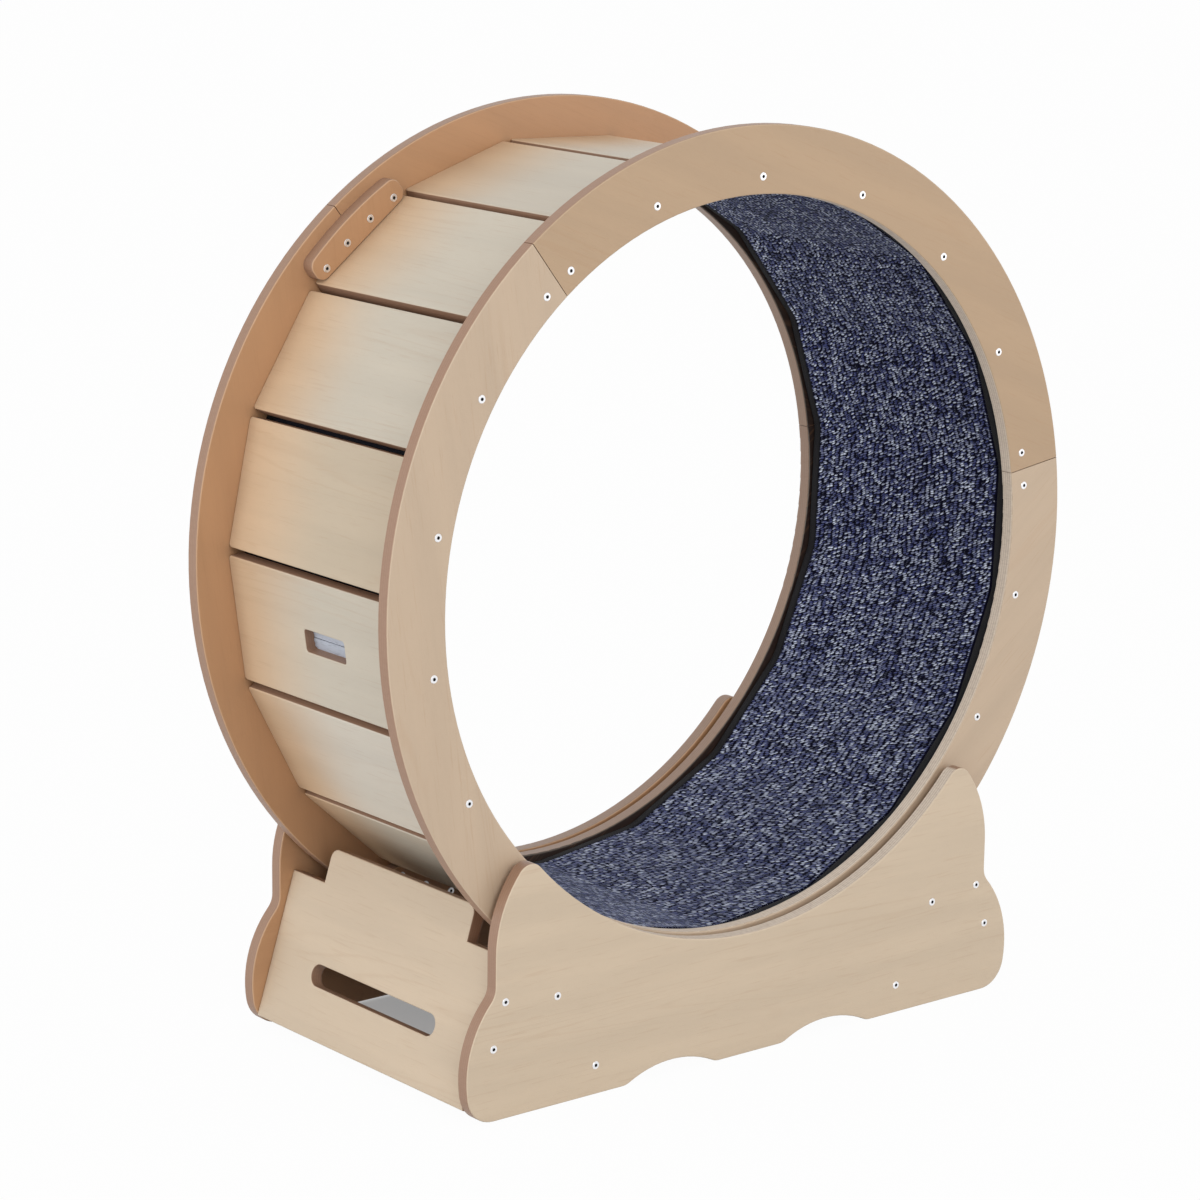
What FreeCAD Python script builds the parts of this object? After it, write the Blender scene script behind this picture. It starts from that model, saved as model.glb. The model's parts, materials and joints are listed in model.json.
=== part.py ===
import FreeCAD, Part
import math
import os

import Sketcher

# Cat exercise wheel: a running drum of boards that turns on four grooved rollers between two
# shaped side panels. Millimetres, +Z up. The origin is on the floor under the middle of the
# drum, the drum's axle line runs along Y, and the base is long in X.
# Words used below: "near" is the -Y side, "far" is +Y, "left" is -X and "right" is +X.
# Angles on the drum are measured in the XZ plane, from +X towards +Z.

V = FreeCAD.Vector
X_AXIS, Y_AXIS, Z_AXIS = V(1, 0, 0), V(0, 1, 0), V(0, 0, 1)

DIMENSIONS = [
    ("board", 18.0, "thickness of every board"),
    ("arris", 2.0, "rounding of every board's long edges"),
    # drum
    ("wheel_radius", 530.0, "outer radius of the two rings"),
    ("rim_radius", 448.0, "inner radius of the two rings"),
    ("wheel_width", 402.0, "outer face of one ring to outer face of the other"),
    ("axis_height", 603.5, "floor to the drum's axis"),
    ("seam_angle", 8.2, "angle of the first seam between ring segments"),
    ("segment_count", 3, "segments in one ring"),
    ("seam_gap", 1.0, "gap left at a seam"),
    ("slat_count", 18, "slats round the drum"),
    ("slat_face_radius", 478.0, "axis to the middle of a slat's outer face"),
    ("slat_breadth", 158.0, "slat, measured round the drum"),
    ("slat_corner", 5.0, "rounding of a slat's four corners"),
    ("slot_length", 80.0, "slot in the slotted slat, along the drum's width"),
    ("slot_height", 28.0, "slot in the slotted slat, round the drum"),
    ("slot_corner", 4.0, "rounding of that slot's corners"),
    ("seam_screw_angle", 2.65, "slat screws beside a seam, angle from the seam"),
    # splice plates
    ("splice_radius", 515.0, "outer edge of a splice plate"),
    ("splice_length", 160.0, "splice plate, end to end"),
    ("splice_corner", 13.0, "rounding of a splice plate's ends"),
    ("splice_gap", 0.5, "gap between a splice plate and the slat under it"),
    ("splice_screw_radius", 493.0, "circle that the splice screws stand on"),
    ("splice_screw_inner", 2.5, "inner splice screws, angle from the seam"),
    ("splice_screw_outer", 7.3, "outer splice screws, angle from the seam"),
    # carpet
    ("pile_thickness", 10.0, "carpet, backing and pile together"),
    ("pile_width", 336.0, "carpet between its two bindings"),
    ("binding_thickness", 8.0, "edge binding"),
    ("binding_width", 14.0, "edge binding, across"),
    ("lining_bend", 60.0, "bend of the carpet where two slats meet"),
    ("butt_gap", 0.6, "gap where the carpet's two ends meet"),
    # screws
    ("head_diameter", 10.0, "screw head"),
    ("head_depth", 3.0, "counterbore for the head"),
    ("head_proud", 0.6, "how far a head stands out of the board"),
    ("head_ease", 0.5, "chamfer of the head's rim"),
    ("screw_tip", 4.0, "length of a screw's point"),
    ("neck_diameter", 7.0, "hole through the outer board"),
    ("core_diameter", 5.0, "pilot hole"),
    ("screw_length", 50.0, "board screw, under the face"),
    ("splice_screw_length", 30.0, "splice screw, under the face"),
    ("socket_width", 4.0, "hexagon socket across its flats"),
    ("socket_depth", 2.4, "hexagon socket"),
    ("thread_gap", 0.05, "play between a screw and its hole"),
    # side panels
    ("base_width", 457.0, "outer face of one side panel to outer face of the other"),
    ("cut_radius", 449.5, "round cut that the drum is seen through"),
    ("horn_radius", 20.0, "tip of a horn"),
    ("shoulder_radius", 151.0, "outer edge of a horn"),
    ("shoulder_height", 200.0, "centre of that edge, above the floor"),
    ("waist_reach", 394.0, "waist, from the middle of the panel"),
    ("waist_radius", 25.0, "hollow under the waist"),
    ("bulge_radius", 135.0, "bulge over the foot"),
    ("bulge_reach", 300.9, "centre of the bulge, from the middle"),
    ("bulge_height", 55.0, "centre of the bulge, above the floor"),
    ("toe_radius", 38.5, "bottom corner"),
    ("arch_reach", 125.0, "middle of an arch between two feet"),
    ("arch_height", 17.5, "arch, above the floor"),
    ("arch_radius", 150.0, "crown of the arch"),
    ("foot_radius", 25.0, "rounding where a foot meets the arch"),
    # end panels
    ("end_lean", 17.5, "end panels lean inwards by this angle"),
    ("end_foot", 434.5, "plane of an end panel's outer face, where it would meet the floor"),
    ("end_bottom", 16.5, "bottom edge, along the slope from the floor"),
    ("end_shoulder", 203.5, "edge under the rings, along the slope"),
    ("end_top", 247.5, "top of the tab, along the slope"),
    ("tab_width", 289.0, "tab between the rings"),
    ("tab_corner", 12.0, "rounding of the tab's corners"),
    ("handle_length", 251.0, "handle slot, end to end"),
    ("handle_height", 27.0, "handle slot"),
    ("handle_middle", 93.5, "middle of the handle slot, along the slope"),
    ("end_screw_low", 96.2, "lower end-panel screw, along the slope"),
    ("end_screw_high", 153.1, "upper end-panel screw, along the slope"),
    # stretchers
    ("stretcher_reach", 243.8, "middle of a stretcher, from the middle of the base"),
    ("stretcher_middle", 36.4, "middle of a stretcher, above the floor"),
    ("stretcher_height", 40.0, "stretcher, top to bottom"),
    # rollers
    ("roller_angle", 32.86, "roller, from straight below the drum's axis"),
    ("rolling_gap", 0.3, "play between ring and tyre"),
    ("tyre_radius", 27.5, "tyre's tread"),
    ("hub_radius", 22.0, "seat of the tyre"),
    ("flange_radius", 34.0, "flanges that keep the ring on the tyre"),
    ("flange_thickness", 3.0, "flange at its root"),
    ("flange_edge", 1.8, "flange at its rim"),
    ("groove_width", 19.5, "between the flanges"),
    ("tyre_chamfer", 1.0, "chamfer of the tread's edges"),
    ("web_bore", 10.0, "radius of the hub's bore between its bearings"),
    ("bearing_radius", 14.0, "outside of a bearing"),
    ("bearing_width", 8.0, "bearing"),
    ("outer_land", 11.7, "inside of a bearing's outer ring"),
    ("inner_land", 8.5, "outside of a bearing's inner ring"),
    ("ball_radius", 2.35, "bearing ball"),
    ("ball_count", 8, "balls in one bearing"),
    ("shaft_radius", 6.0, "roller shaft"),
    ("shaft_hole_depth", 24.0, "threaded hole in a shaft's end"),
    ("bolt_radius", 3.0, "bolt into a shaft's end"),
    ("bolt_length", 38.0, "that bolt, under the panel's face"),
    ("sleeve_radius", 8.0, "outside of the sleeves on a shaft"),
    ("running_gap", 0.05, "play between a turning piece and a still one"),
]

doc = FreeCAD.newDocument("CatExerciseWheel")
sheet = doc.addObject("Spreadsheet::Sheet", "Dims")
for row, (alias, value, note) in enumerate(DIMENSIONS, start=1):
    sheet.set(f"A{row}", alias)
    sheet.set(f"B{row}", str(value))
    sheet.setAlias(f"B{row}", alias)
    sheet.set(f"C{row}", note)
doc.recompute()

D = {alias: float(sheet.get(alias)) for alias, value, note in DIMENSIONS}
SLAT_COUNT = int(D["slat_count"])
SEGMENT_COUNT = int(D["segment_count"])
SLAT_STEP = 360 / SLAT_COUNT
SEGMENT_STEP = 360 / SEGMENT_COUNT
SLATS_PER_SEGMENT = SLAT_COUNT // SEGMENT_COUNT
SLOTTED_SLAT = 9

SLAT_LENGTH = "(Dims.wheel_width - 2 * Dims.board)"
SCREW_CIRCLE = "(Dims.slat_face_radius - Dims.board / 2)"
PANEL_GAP = "(Dims.base_width - 2 * Dims.board)"
ROLLER_ORBIT = "(Dims.wheel_radius + Dims.rolling_gap + Dims.tyre_radius)"
ROLLER_REACH = f"{ROLLER_ORBIT} * sin(Dims.roller_angle)"
ROLLER_HEIGHT = f"(Dims.axis_height - {ROLLER_ORBIT} * cos(Dims.roller_angle))"
HUB_WIDTH = "(Dims.groove_width + 2 * Dims.flange_thickness)"
SCREW_DEPTH = "(Dims.screw_length - Dims.board + 1)"

SIGNS = ("", "-")
SPLICE_ROWS = ("inner", "outer")
SUBPARTS = []


# ---------------------------------------------------------------- helpers

def new_body(label):
    """A body that is one sub-part."""
    body = doc.addObject("PartDesign::Body", label)
    body.Label = label
    SUBPARTS.append(body)
    return body


def origin_item(body, role):
    return next(item for item in body.Origin.OriginFeatures if item.Role == role)


def new_sketch(body, name, plane, offset=None):
    """An empty sketch on one of the body's own planes, moved along its normal by offset."""
    sketch = body.newObject("Sketcher::SketchObject", name)
    sketch.AttachmentSupport = [(origin_item(body, plane), "")]
    sketch.MapMode = "FlatFace"
    if offset:
        sketch.setExpression("AttachmentOffset.Base.z", offset)
    return sketch


def bind(sketch, kind, references, expression, start):
    """A driving constraint whose value comes from the sheet."""
    number = sketch.addConstraint(Sketcher.Constraint(kind, *references, start))
    sketch.setExpression(f"Constraints[{number}]", expression)


def pin_point(sketch, geometry, position, x, y, start):
    """Hold a point at (x, y), both given as expressions."""
    bind(sketch, "DistanceX", (-1, 1, geometry, position), x, start.x)
    bind(sketch, "DistanceY", (-1, 1, geometry, position), y, start.y)


def polygon_sketch(body, name, plane, corners, offset=None):
    """A closed outline of straight lines through corners given as pairs of expressions."""
    sketch = new_sketch(body, name, plane, offset)
    count = len(corners)
    turns = [2 * math.pi * i / count for i in range(count)]
    first = [V(100 + 50 * math.cos(turn), 100 + 50 * math.sin(turn), 0) for turn in turns]
    for i in range(count):
        sketch.addGeometry(Part.LineSegment(first[i], first[(i + 1) % count]))
    for i in range(count):
        sketch.addConstraint(Sketcher.Constraint("Coincident", i, 2, (i + 1) % count, 1))
    for i, (x, y) in enumerate(corners):
        pin_point(sketch, i, 1, x, y, first[i])
    return sketch


def circles_sketch(body, name, plane, centres, diameter, offset=None):
    """Circles of one diameter, their centres given as pairs of expressions."""
    sketch = new_sketch(body, name, plane, offset)
    for i, (x, y) in enumerate(centres):
        first = V(60 * (i + 1), 10, 0)
        sketch.addGeometry(Part.Circle(first, Z_AXIS, 4))
        pin_point(sketch, i, 3, x, y, first)
        bind(sketch, "Radius", (i,), f"{diameter} / 2", 4)
    return sketch


def slot_sketch(body, name, plane, middle, length, height):
    """A slot with round ends, along the sketch's X, centred at (0, middle)."""
    sketch = new_sketch(body, name, plane)
    right_end = Part.Circle(V(50, 50, 0), Z_AXIS, 10)
    left_end = Part.Circle(V(-50, 50, 0), Z_AXIS, 10)
    quarter = math.pi / 2
    sketch.addGeometry(Part.LineSegment(V(-50, 40, 0), V(50, 40, 0)))
    sketch.addGeometry(Part.ArcOfCircle(right_end, -quarter, quarter))
    sketch.addGeometry(Part.LineSegment(V(50, 60, 0), V(-50, 60, 0)))
    sketch.addGeometry(Part.ArcOfCircle(left_end, quarter, 3 * quarter))
    for i in range(4):
        sketch.addConstraint(Sketcher.Constraint("Tangent", i, 2, (i + 1) % 4, 1))
    reach = f"({length} - {height}) / 2"
    pin_point(sketch, 1, 3, reach, middle, V(50, 50, 0))
    pin_point(sketch, 3, 3, f"-{reach}", middle, V(-50, 50, 0))
    bind(sketch, "Radius", (1,), f"{height} / 2", 10)
    bind(sketch, "Radius", (3,), f"{height} / 2", 10)
    return sketch


def on_circle(radius, turns):
    """Points on a circle, as pairs of expressions, from its radius and the points' angles."""
    return [(f"{radius} * cos({turn})", f"{radius} * sin({turn})") for turn in turns]


def pad(body, sketch, length, symmetric=False):
    feature = body.newObject("PartDesign::Pad", "pad")
    feature.Profile = sketch
    feature.setExpression("Length", length)
    feature.SideType = "Symmetric" if symmetric else "One side"
    doc.recompute()
    return feature


def pocket(body, sketch, depth=None, reverse=False):
    """Cut to a depth, or right through where none is given, and make sure that it did cut."""
    before = body.Shape.Volume
    feature = body.newObject("PartDesign::Pocket", "pocket")
    feature.Profile = sketch
    if depth:
        feature.setExpression("Length", depth)
        feature.Reversed = reverse
    else:
        feature.Type = "ThroughAll"
        feature.SideType = "Symmetric"
    doc.recompute()
    if body.Shape.Volume > before - 1:
        raise RuntimeError(f"{body.Label}: a pocket cut nothing")
    return feature


def revolve(body, sketch, angle="360"):
    """Turn a sketch on the XY plane about the Y axis, evenly to both sides."""
    feature = body.newObject("PartDesign::Revolution", "turn")
    feature.Profile = sketch
    feature.ReferenceAxis = (origin_item(body, "Y_Axis"), [""])
    feature.setExpression("Angle", angle)
    feature.Midplane = True
    doc.recompute()
    return feature


def mirror(body, originals, plane):
    feature = body.newObject("PartDesign::Mirrored", "mirror")
    feature.Originals = originals
    feature.MirrorPlane = (origin_item(body, plane), [""])
    body.Tip = feature
    doc.recompute()
    return feature


def round_edges(body, radius, wanted):
    """Fillet the edges of the body's last feature that the test picks out."""
    tip = body.Tip
    names = [f"Edge{i}" for i, edge in enumerate(tip.Shape.Edges, start=1) if wanted(edge)]
    if not names:
        raise RuntimeError(f"{body.Label}: no edge to round")
    feature = body.newObject("PartDesign::Fillet", "rounding")
    feature.Base = (tip, names)
    feature.setExpression("Radius", radius)
    doc.recompute()
    return feature


def lies_in(axis, values):
    """A test for edges that lie in one of the planes axis = value."""
    def wanted(edge):
        box = edge.BoundBox
        low, high = getattr(box, f"{axis}Min"), getattr(box, f"{axis}Max")
        return high - low < 0.01 and any(abs(low - value) < 0.01 for value in values)
    return wanted


def runs_along(axis, above=None):
    """A test for straight edges parallel to an axis, above a height where one is given."""
    def wanted(edge):
        if edge.Curve.TypeId != "Part::GeomLine":
            return False
        if abs(edge.Curve.Direction.dot(axis)) < 0.999:
            return False
        return above is None or edge.BoundBox.ZMin > above
    return wanted


def place(body, rotation, x="0", y="0", z="0"):
    """Turn the sub-part and put its origin at a place given as expressions."""
    body.Placement = FreeCAD.Placement(V(0, 0, 0), rotation)
    body.setExpression("Placement.Base.x", x)
    body.setExpression("Placement.Base.y", y)
    body.setExpression("Placement.Base.z", z)


def on_drum(angle, far=False):
    """Rotation from a piece's own frame, whose +X points outwards, to its place on the drum."""
    turn = FreeCAD.Rotation(Y_AXIS, -angle)
    return turn * FreeCAD.Rotation(X_AXIS, 180) if far else turn


# ---------------------------------------------------------------- drum

def ring_segment(label, angle, far):
    """A third of a ring. Its own outer face is at -Y, and its middle lies along +X."""
    body = new_body(label)
    half = "Dims.board / 2"
    section = polygon_sketch(body, "section", "XY_Plane", [
        ("Dims.rim_radius", f"-{half}"),
        ("Dims.wheel_radius", f"-{half}"),
        ("Dims.wheel_radius", half),
        ("Dims.rim_radius", half),
    ])
    gap_angle = "Dims.seam_gap / Dims.wheel_radius * 180 / pi"
    revolve(body, section, f"360 / Dims.segment_count - {gap_angle}")
    faces = lies_in("Y", (-D["board"] / 2, D["board"] / 2))
    round_edges(body, "Dims.arris", lambda edge: faces(edge) and edge.Curve.TypeId == "Part::GeomCircle")

    seam = "180 / Dims.segment_count"
    turns = [str(SLAT_STEP * i) for i in range(1 - SLATS_PER_SEGMENT // 2, SLATS_PER_SEGMENT // 2)]
    turns += [f"{sign}({seam} - Dims.seam_screw_angle)" for sign in SIGNS]
    centres = on_circle(SCREW_CIRCLE, turns)
    necks = circles_sketch(body, "screw_holes", "XZ_Plane", centres, "Dims.neck_diameter")
    pocket(body, necks)
    heads = circles_sketch(body, "counterbores", "XZ_Plane", centres, "Dims.head_diameter", half)
    pocket(body, heads, "Dims.head_depth")

    turns = [f"{sign}({seam} - Dims.splice_screw_{which})" for sign in SIGNS for which in SPLICE_ROWS]
    centres = on_circle("Dims.splice_screw_radius", turns)
    pilots = circles_sketch(body, "splice_pilots", "XZ_Plane", centres, "Dims.core_diameter", f"-{half}")
    pocket(body, pilots, "Dims.splice_screw_length - Dims.board + 1", reverse=True)

    side = "" if far else "-"
    place(body, on_drum(angle, far), y=f"{side}(Dims.wheel_width - Dims.board) / 2", z="Dims.axis_height")


def slat(label, angle, seam=False, slotted=False):
    """A running board between the rings, with its outer face towards its own +X."""
    body = new_body(label)
    half = f"{SLAT_LENGTH} / 2"
    edge_at = "Dims.slat_breadth / 2"
    outline = polygon_sketch(body, "outline", "YZ_Plane", [
        (f"-{half}", f"-{edge_at}"),
        (half, f"-{edge_at}"),
        (half, edge_at),
        (f"-{half}", edge_at),
    ], "Dims.slat_face_radius - Dims.board")
    pad(body, outline, "Dims.board")
    round_edges(body, "Dims.slat_corner", runs_along(X_AXIS))
    if slotted:
        reach, rise = "Dims.slot_length / 2", "Dims.slot_height / 2"
        slot = polygon_sketch(body, "slot", "YZ_Plane", [
            (f"-{reach}", f"-{rise}"), (reach, f"-{rise}"), (reach, rise), (f"-{reach}", rise),
        ])
        pocket(body, slot)
        limit = D["slot_length"]
        along = runs_along(X_AXIS)
        round_edges(body, "Dims.slot_corner", lambda edge: along(edge) and abs(edge.BoundBox.YMax) < limit)
    face, back = D["slat_face_radius"], D["slat_face_radius"] - D["board"]
    round_edges(body, "Dims.arris", lies_in("X", (face, back)))

    turns = ["Dims.seam_screw_angle", "-Dims.seam_screw_angle"] if seam else ["0"]
    centres = on_circle(SCREW_CIRCLE, turns)
    pilots = circles_sketch(body, "pilots", "XZ_Plane", centres, "Dims.core_diameter", half)
    holes = pocket(body, pilots, SCREW_DEPTH)
    mirror(body, [holes], "XZ_Plane")
    place(body, on_drum(angle), z="Dims.axis_height")


def splice_plate(label, angle, far):
    """A plate across a seam, on the ring's inner face and against a slat's outer face."""
    body = new_body(label)
    sketch = new_sketch(body, "outline", "XZ_Plane")
    chord = D["slat_face_radius"] + D["splice_gap"]
    rise = D["splice_length"] / 2
    radius = D["splice_radius"]
    reach = math.sqrt(radius ** 2 - rise ** 2)
    half_angle = math.asin(rise / radius)
    sketch.addGeometry(Part.LineSegment(V(chord, -rise, 0), V(reach, -rise, 0)))
    sketch.addGeometry(Part.ArcOfCircle(Part.Circle(V(0, 0, 0), Z_AXIS, radius), -half_angle, half_angle))
    sketch.addGeometry(Part.LineSegment(V(reach, rise, 0), V(chord, rise, 0)))
    sketch.addGeometry(Part.LineSegment(V(chord, rise, 0), V(chord, -rise, 0)))
    for i in range(4):
        sketch.addConstraint(Sketcher.Constraint("Coincident", i, 2, (i + 1) % 4, 1))
    sketch.addConstraint(Sketcher.Constraint("Coincident", 1, 3, -1, 1))
    sketch.addConstraint(Sketcher.Constraint("Horizontal", 0))
    sketch.addConstraint(Sketcher.Constraint("Horizontal", 2))
    bind(sketch, "Radius", (1,), "Dims.splice_radius", radius)
    face = "Dims.slat_face_radius + Dims.splice_gap"
    pin_point(sketch, 0, 1, face, "-Dims.splice_length / 2", V(chord, -rise, 0))
    pin_point(sketch, 3, 1, face, "Dims.splice_length / 2", V(chord, rise, 0))
    pad(body, sketch, "Dims.board", symmetric=True)
    round_edges(body, "Dims.splice_corner", runs_along(Y_AXIS))
    half = D["board"] / 2
    round_edges(body, "Dims.arris", lies_in("Y", (half,)))

    turns = [f"{sign}Dims.splice_screw_{which}" for sign in SIGNS for which in SPLICE_ROWS]
    centres = on_circle("Dims.splice_screw_radius", turns)
    holes = circles_sketch(body, "screw_holes", "XZ_Plane", centres, "Dims.core_diameter")
    pocket(body, holes)
    inner = "-Dims.board / 2"
    heads = circles_sketch(body, "counterbores", "XZ_Plane", centres, "Dims.head_diameter", inner)
    pocket(body, heads, "Dims.head_depth", reverse=True)

    side = "" if far else "-"
    inner_face = "(Dims.wheel_width / 2 - 1.5 * Dims.board)"
    place(body, on_drum(angle, far), y=f"{side}{inner_face}", z="Dims.axis_height")


def lining(label, thickness, width, middle):
    """A band round the inside of the slats, flat on each one, with its ends butted together."""
    body = new_body(label)
    corner = "/ cos(180 / Dims.slat_count)"
    back = f"(Dims.slat_face_radius - Dims.board) {corner}"
    front = f"(Dims.slat_face_radius - Dims.board - {thickness}) {corner}"
    turns = [SLAT_STEP * (i + 0.5) for i in range(SLAT_COUNT)]
    outer = polygon_sketch(body, "back", "XZ_Plane", on_circle(back, turns))
    pad(body, outer, width, symmetric=True)
    inner = polygon_sketch(body, "front", "XZ_Plane", on_circle(front, turns))
    pocket(body, inner)
    limit = D["slat_face_radius"] - D["board"]
    along = runs_along(Y_AXIS)

    def inside(edge):
        middle_point = edge.CenterOfMass
        return along(edge) and math.hypot(middle_point.x, middle_point.z) < limit

    round_edges(body, "Dims.lining_bend", inside)
    butt = polygon_sketch(body, "butt", "XZ_Plane", [
        (f"-{back}", "-Dims.butt_gap / 2"),
        ("-Dims.rim_radius", "-Dims.butt_gap / 2"),
        ("-Dims.rim_radius", "Dims.butt_gap / 2"),
        (f"-{back}", "Dims.butt_gap / 2"),
    ])
    pocket(body, butt)
    place(body, on_drum(D["seam_angle"]), y=middle, z="Dims.axis_height")


# ---------------------------------------------------------------- base

def side_panel_outline(body):
    """The right half of a side panel, from the middle of its bottom edge and round to its top."""
    sketch = new_sketch(body, "outline", "XZ_Plane")
    foot, toe, arch = D["foot_radius"], D["toe_radius"], D["arch_radius"]
    crown_z = D["arch_height"] - arch
    foot_reach = math.sqrt((arch + foot) ** 2 - (foot - crown_z) ** 2)
    foot_1 = V(D["arch_reach"] - foot_reach, foot, 0)
    foot_2 = V(D["arch_reach"] + foot_reach, foot, 0)
    crown = V(D["arch_reach"], crown_z, 0)
    bulge = V(D["bulge_reach"], D["bulge_height"], 0)
    inner = D["bulge_radius"] - toe
    toe_centre = V(bulge.x + math.sqrt(inner ** 2 - (bulge.y - toe) ** 2), toe, 0)
    waist_x = D["waist_reach"] + D["waist_radius"]
    outer = D["bulge_radius"] + D["waist_radius"]
    waist = V(waist_x, bulge.y + math.sqrt(outer ** 2 - (waist_x - bulge.x) ** 2), 0)
    shoulder = V(D["waist_reach"] - D["shoulder_radius"], D["shoulder_height"], 0)
    axis = V(0, D["axis_height"], 0)
    # the horn's tip touches the shoulder from inside and the round cut from outside
    to_shoulder = D["shoulder_radius"] - D["horn_radius"]
    to_axis = D["cut_radius"] + D["horn_radius"]
    span = (axis - shoulder).Length
    along = (to_axis ** 2 - to_shoulder ** 2 + span ** 2) / (2 * span)
    across = math.sqrt(to_axis ** 2 - along ** 2)
    unit = (shoulder - axis).normalize()
    horn = axis + unit * along + V(-unit.y, unit.x, 0) * across

    def touch(centre, other, radius):
        """The point of a circle that faces another centre."""
        return centre + (other - centre).normalize() * radius

    def arc(centre, radius, start, end):
        """A counter-clockwise arc."""
        first = math.atan2(start.y - centre.y, start.x - centre.x)
        last = math.atan2(end.y - centre.y, end.x - centre.x)
        if last < first:
            last += 2 * math.pi
        return Part.ArcOfCircle(Part.Circle(centre, Z_AXIS, radius), first, last)

    rise_1 = touch(crown, foot_1, arch)
    rise_2 = touch(crown, foot_2, arch)
    toe_top = bulge + (toe_centre - bulge).normalize() * D["bulge_radius"]
    bulge_top = touch(bulge, waist, D["bulge_radius"])
    waist_top = V(D["waist_reach"], waist.y, 0)
    shoulder_low = V(D["waist_reach"], shoulder.y, 0)
    shoulder_top = shoulder + (horn - shoulder).normalize() * D["shoulder_radius"]
    horn_end = touch(axis, horn, D["cut_radius"])
    cut_low = V(0, axis.y - D["cut_radius"], 0)
    origin = V(0, 0, 0)

    # each curve's name, the curve, and which of its ends comes first on the way round
    path = [
        ("middle foot", Part.LineSegment(origin, V(foot_1.x, 0, 0)), 1),
        ("arch start", arc(foot_1, foot, V(foot_1.x, 0, 0), rise_1), 1),
        ("arch", arc(crown, arch, rise_2, rise_1), 2),
        ("arch end", arc(foot_2, foot, rise_2, V(foot_2.x, 0, 0)), 1),
        ("outer foot", Part.LineSegment(V(foot_2.x, 0, 0), V(toe_centre.x, 0, 0)), 1),
        ("toe", arc(toe_centre, toe, V(toe_centre.x, 0, 0), toe_top), 1),
        ("bulge", arc(bulge, D["bulge_radius"], toe_top, bulge_top), 1),
        ("waist", arc(waist, D["waist_radius"], waist_top, bulge_top), 2),
        ("side", Part.LineSegment(waist_top, shoulder_low), 1),
        ("shoulder", arc(shoulder, D["shoulder_radius"], shoulder_low, shoulder_top), 1),
        ("horn", arc(horn, D["horn_radius"], shoulder_top, horn_end), 1),
        ("cut", arc(axis, D["cut_radius"], cut_low, horn_end), 2),
        ("middle", Part.LineSegment(cut_low, origin), 1),
    ]
    number = {name: i for i, (name, curve, first_end) in enumerate(path)}
    for name, curve, first_end in path:
        sketch.addGeometry(curve)
    for i, (name, curve, first_end) in enumerate(path):
        following = (i + 1) % len(path)
        kind = "Coincident" if "middle" in (name, path[following][0]) else "Tangent"
        sketch.addConstraint(Sketcher.Constraint(kind, i, 3 - first_end, following, path[following][2]))
    radii = {"arch start": "foot", "arch end": "foot"}
    radii.update({name: name for name in ("arch", "toe", "bulge", "waist", "shoulder", "horn", "cut")})
    for name, size in radii.items():
        bind(sketch, "Radius", (number[name],), f"Dims.{size}_radius", D[f"{size}_radius"])
    sketch.addConstraint(Sketcher.Constraint("Coincident", number["middle foot"], 1, -1, 1))
    for name in ("middle foot", "outer foot"):
        sketch.addConstraint(Sketcher.Constraint("Horizontal", number[name]))
    for name in ("side", "middle"):
        sketch.addConstraint(Sketcher.Constraint("Vertical", number[name]))
    pin_point(sketch, number["arch"], 3, "Dims.arch_reach", "Dims.arch_height - Dims.arch_radius", crown)
    pin_point(sketch, number["bulge"], 3, "Dims.bulge_reach", "Dims.bulge_height", bulge)
    pin_point(sketch, number["cut"], 3, "0", "Dims.axis_height", axis)
    bind(sketch, "DistanceX", (-1, 1, number["side"], 1), "Dims.waist_reach", D["waist_reach"])
    bind(sketch, "DistanceY", (-1, 1, number["shoulder"], 3), "Dims.shoulder_height", D["shoulder_height"])
    bind(sketch, "DistanceY", (-1, 1, number["outer foot"], 1), "0", 0)
    return sketch


def side_panel(label, far):
    """A side of the base, with its own outer face at -Y."""
    body = new_body(label)
    half_panel = pad(body, side_panel_outline(body), "Dims.board", symmetric=True)
    mirror(body, [half_panel], "YZ_Plane")
    half = D["board"] / 2
    round_edges(body, "Dims.arris", lies_in("Y", (-half, half)))

    lean, half_board = "Dims.end_lean", "Dims.board / 2"
    centres = []
    for sign in SIGNS:
        for height in ("Dims.end_screw_low", "Dims.end_screw_high"):
            x = f"{sign}(Dims.end_foot - {height} * sin({lean}) - {half_board} * cos({lean}))"
            centres.append((x, f"{height} * cos({lean}) - {half_board} * sin({lean})"))
        centres.append((f"{sign}{ROLLER_REACH}", ROLLER_HEIGHT))
        centres.append((f"{sign}Dims.stretcher_reach", "Dims.stretcher_middle"))
    necks = circles_sketch(body, "screw_holes", "XZ_Plane", centres, "Dims.neck_diameter")
    pocket(body, necks)
    heads = circles_sketch(body, "counterbores", "XZ_Plane", centres, "Dims.head_diameter", half_board)
    pocket(body, heads, "Dims.head_depth")
    turn = FreeCAD.Rotation(Z_AXIS, 180 if far else 0)
    place(body, turn, y=("" if far else "-") + "(Dims.base_width - Dims.board) / 2")


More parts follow.
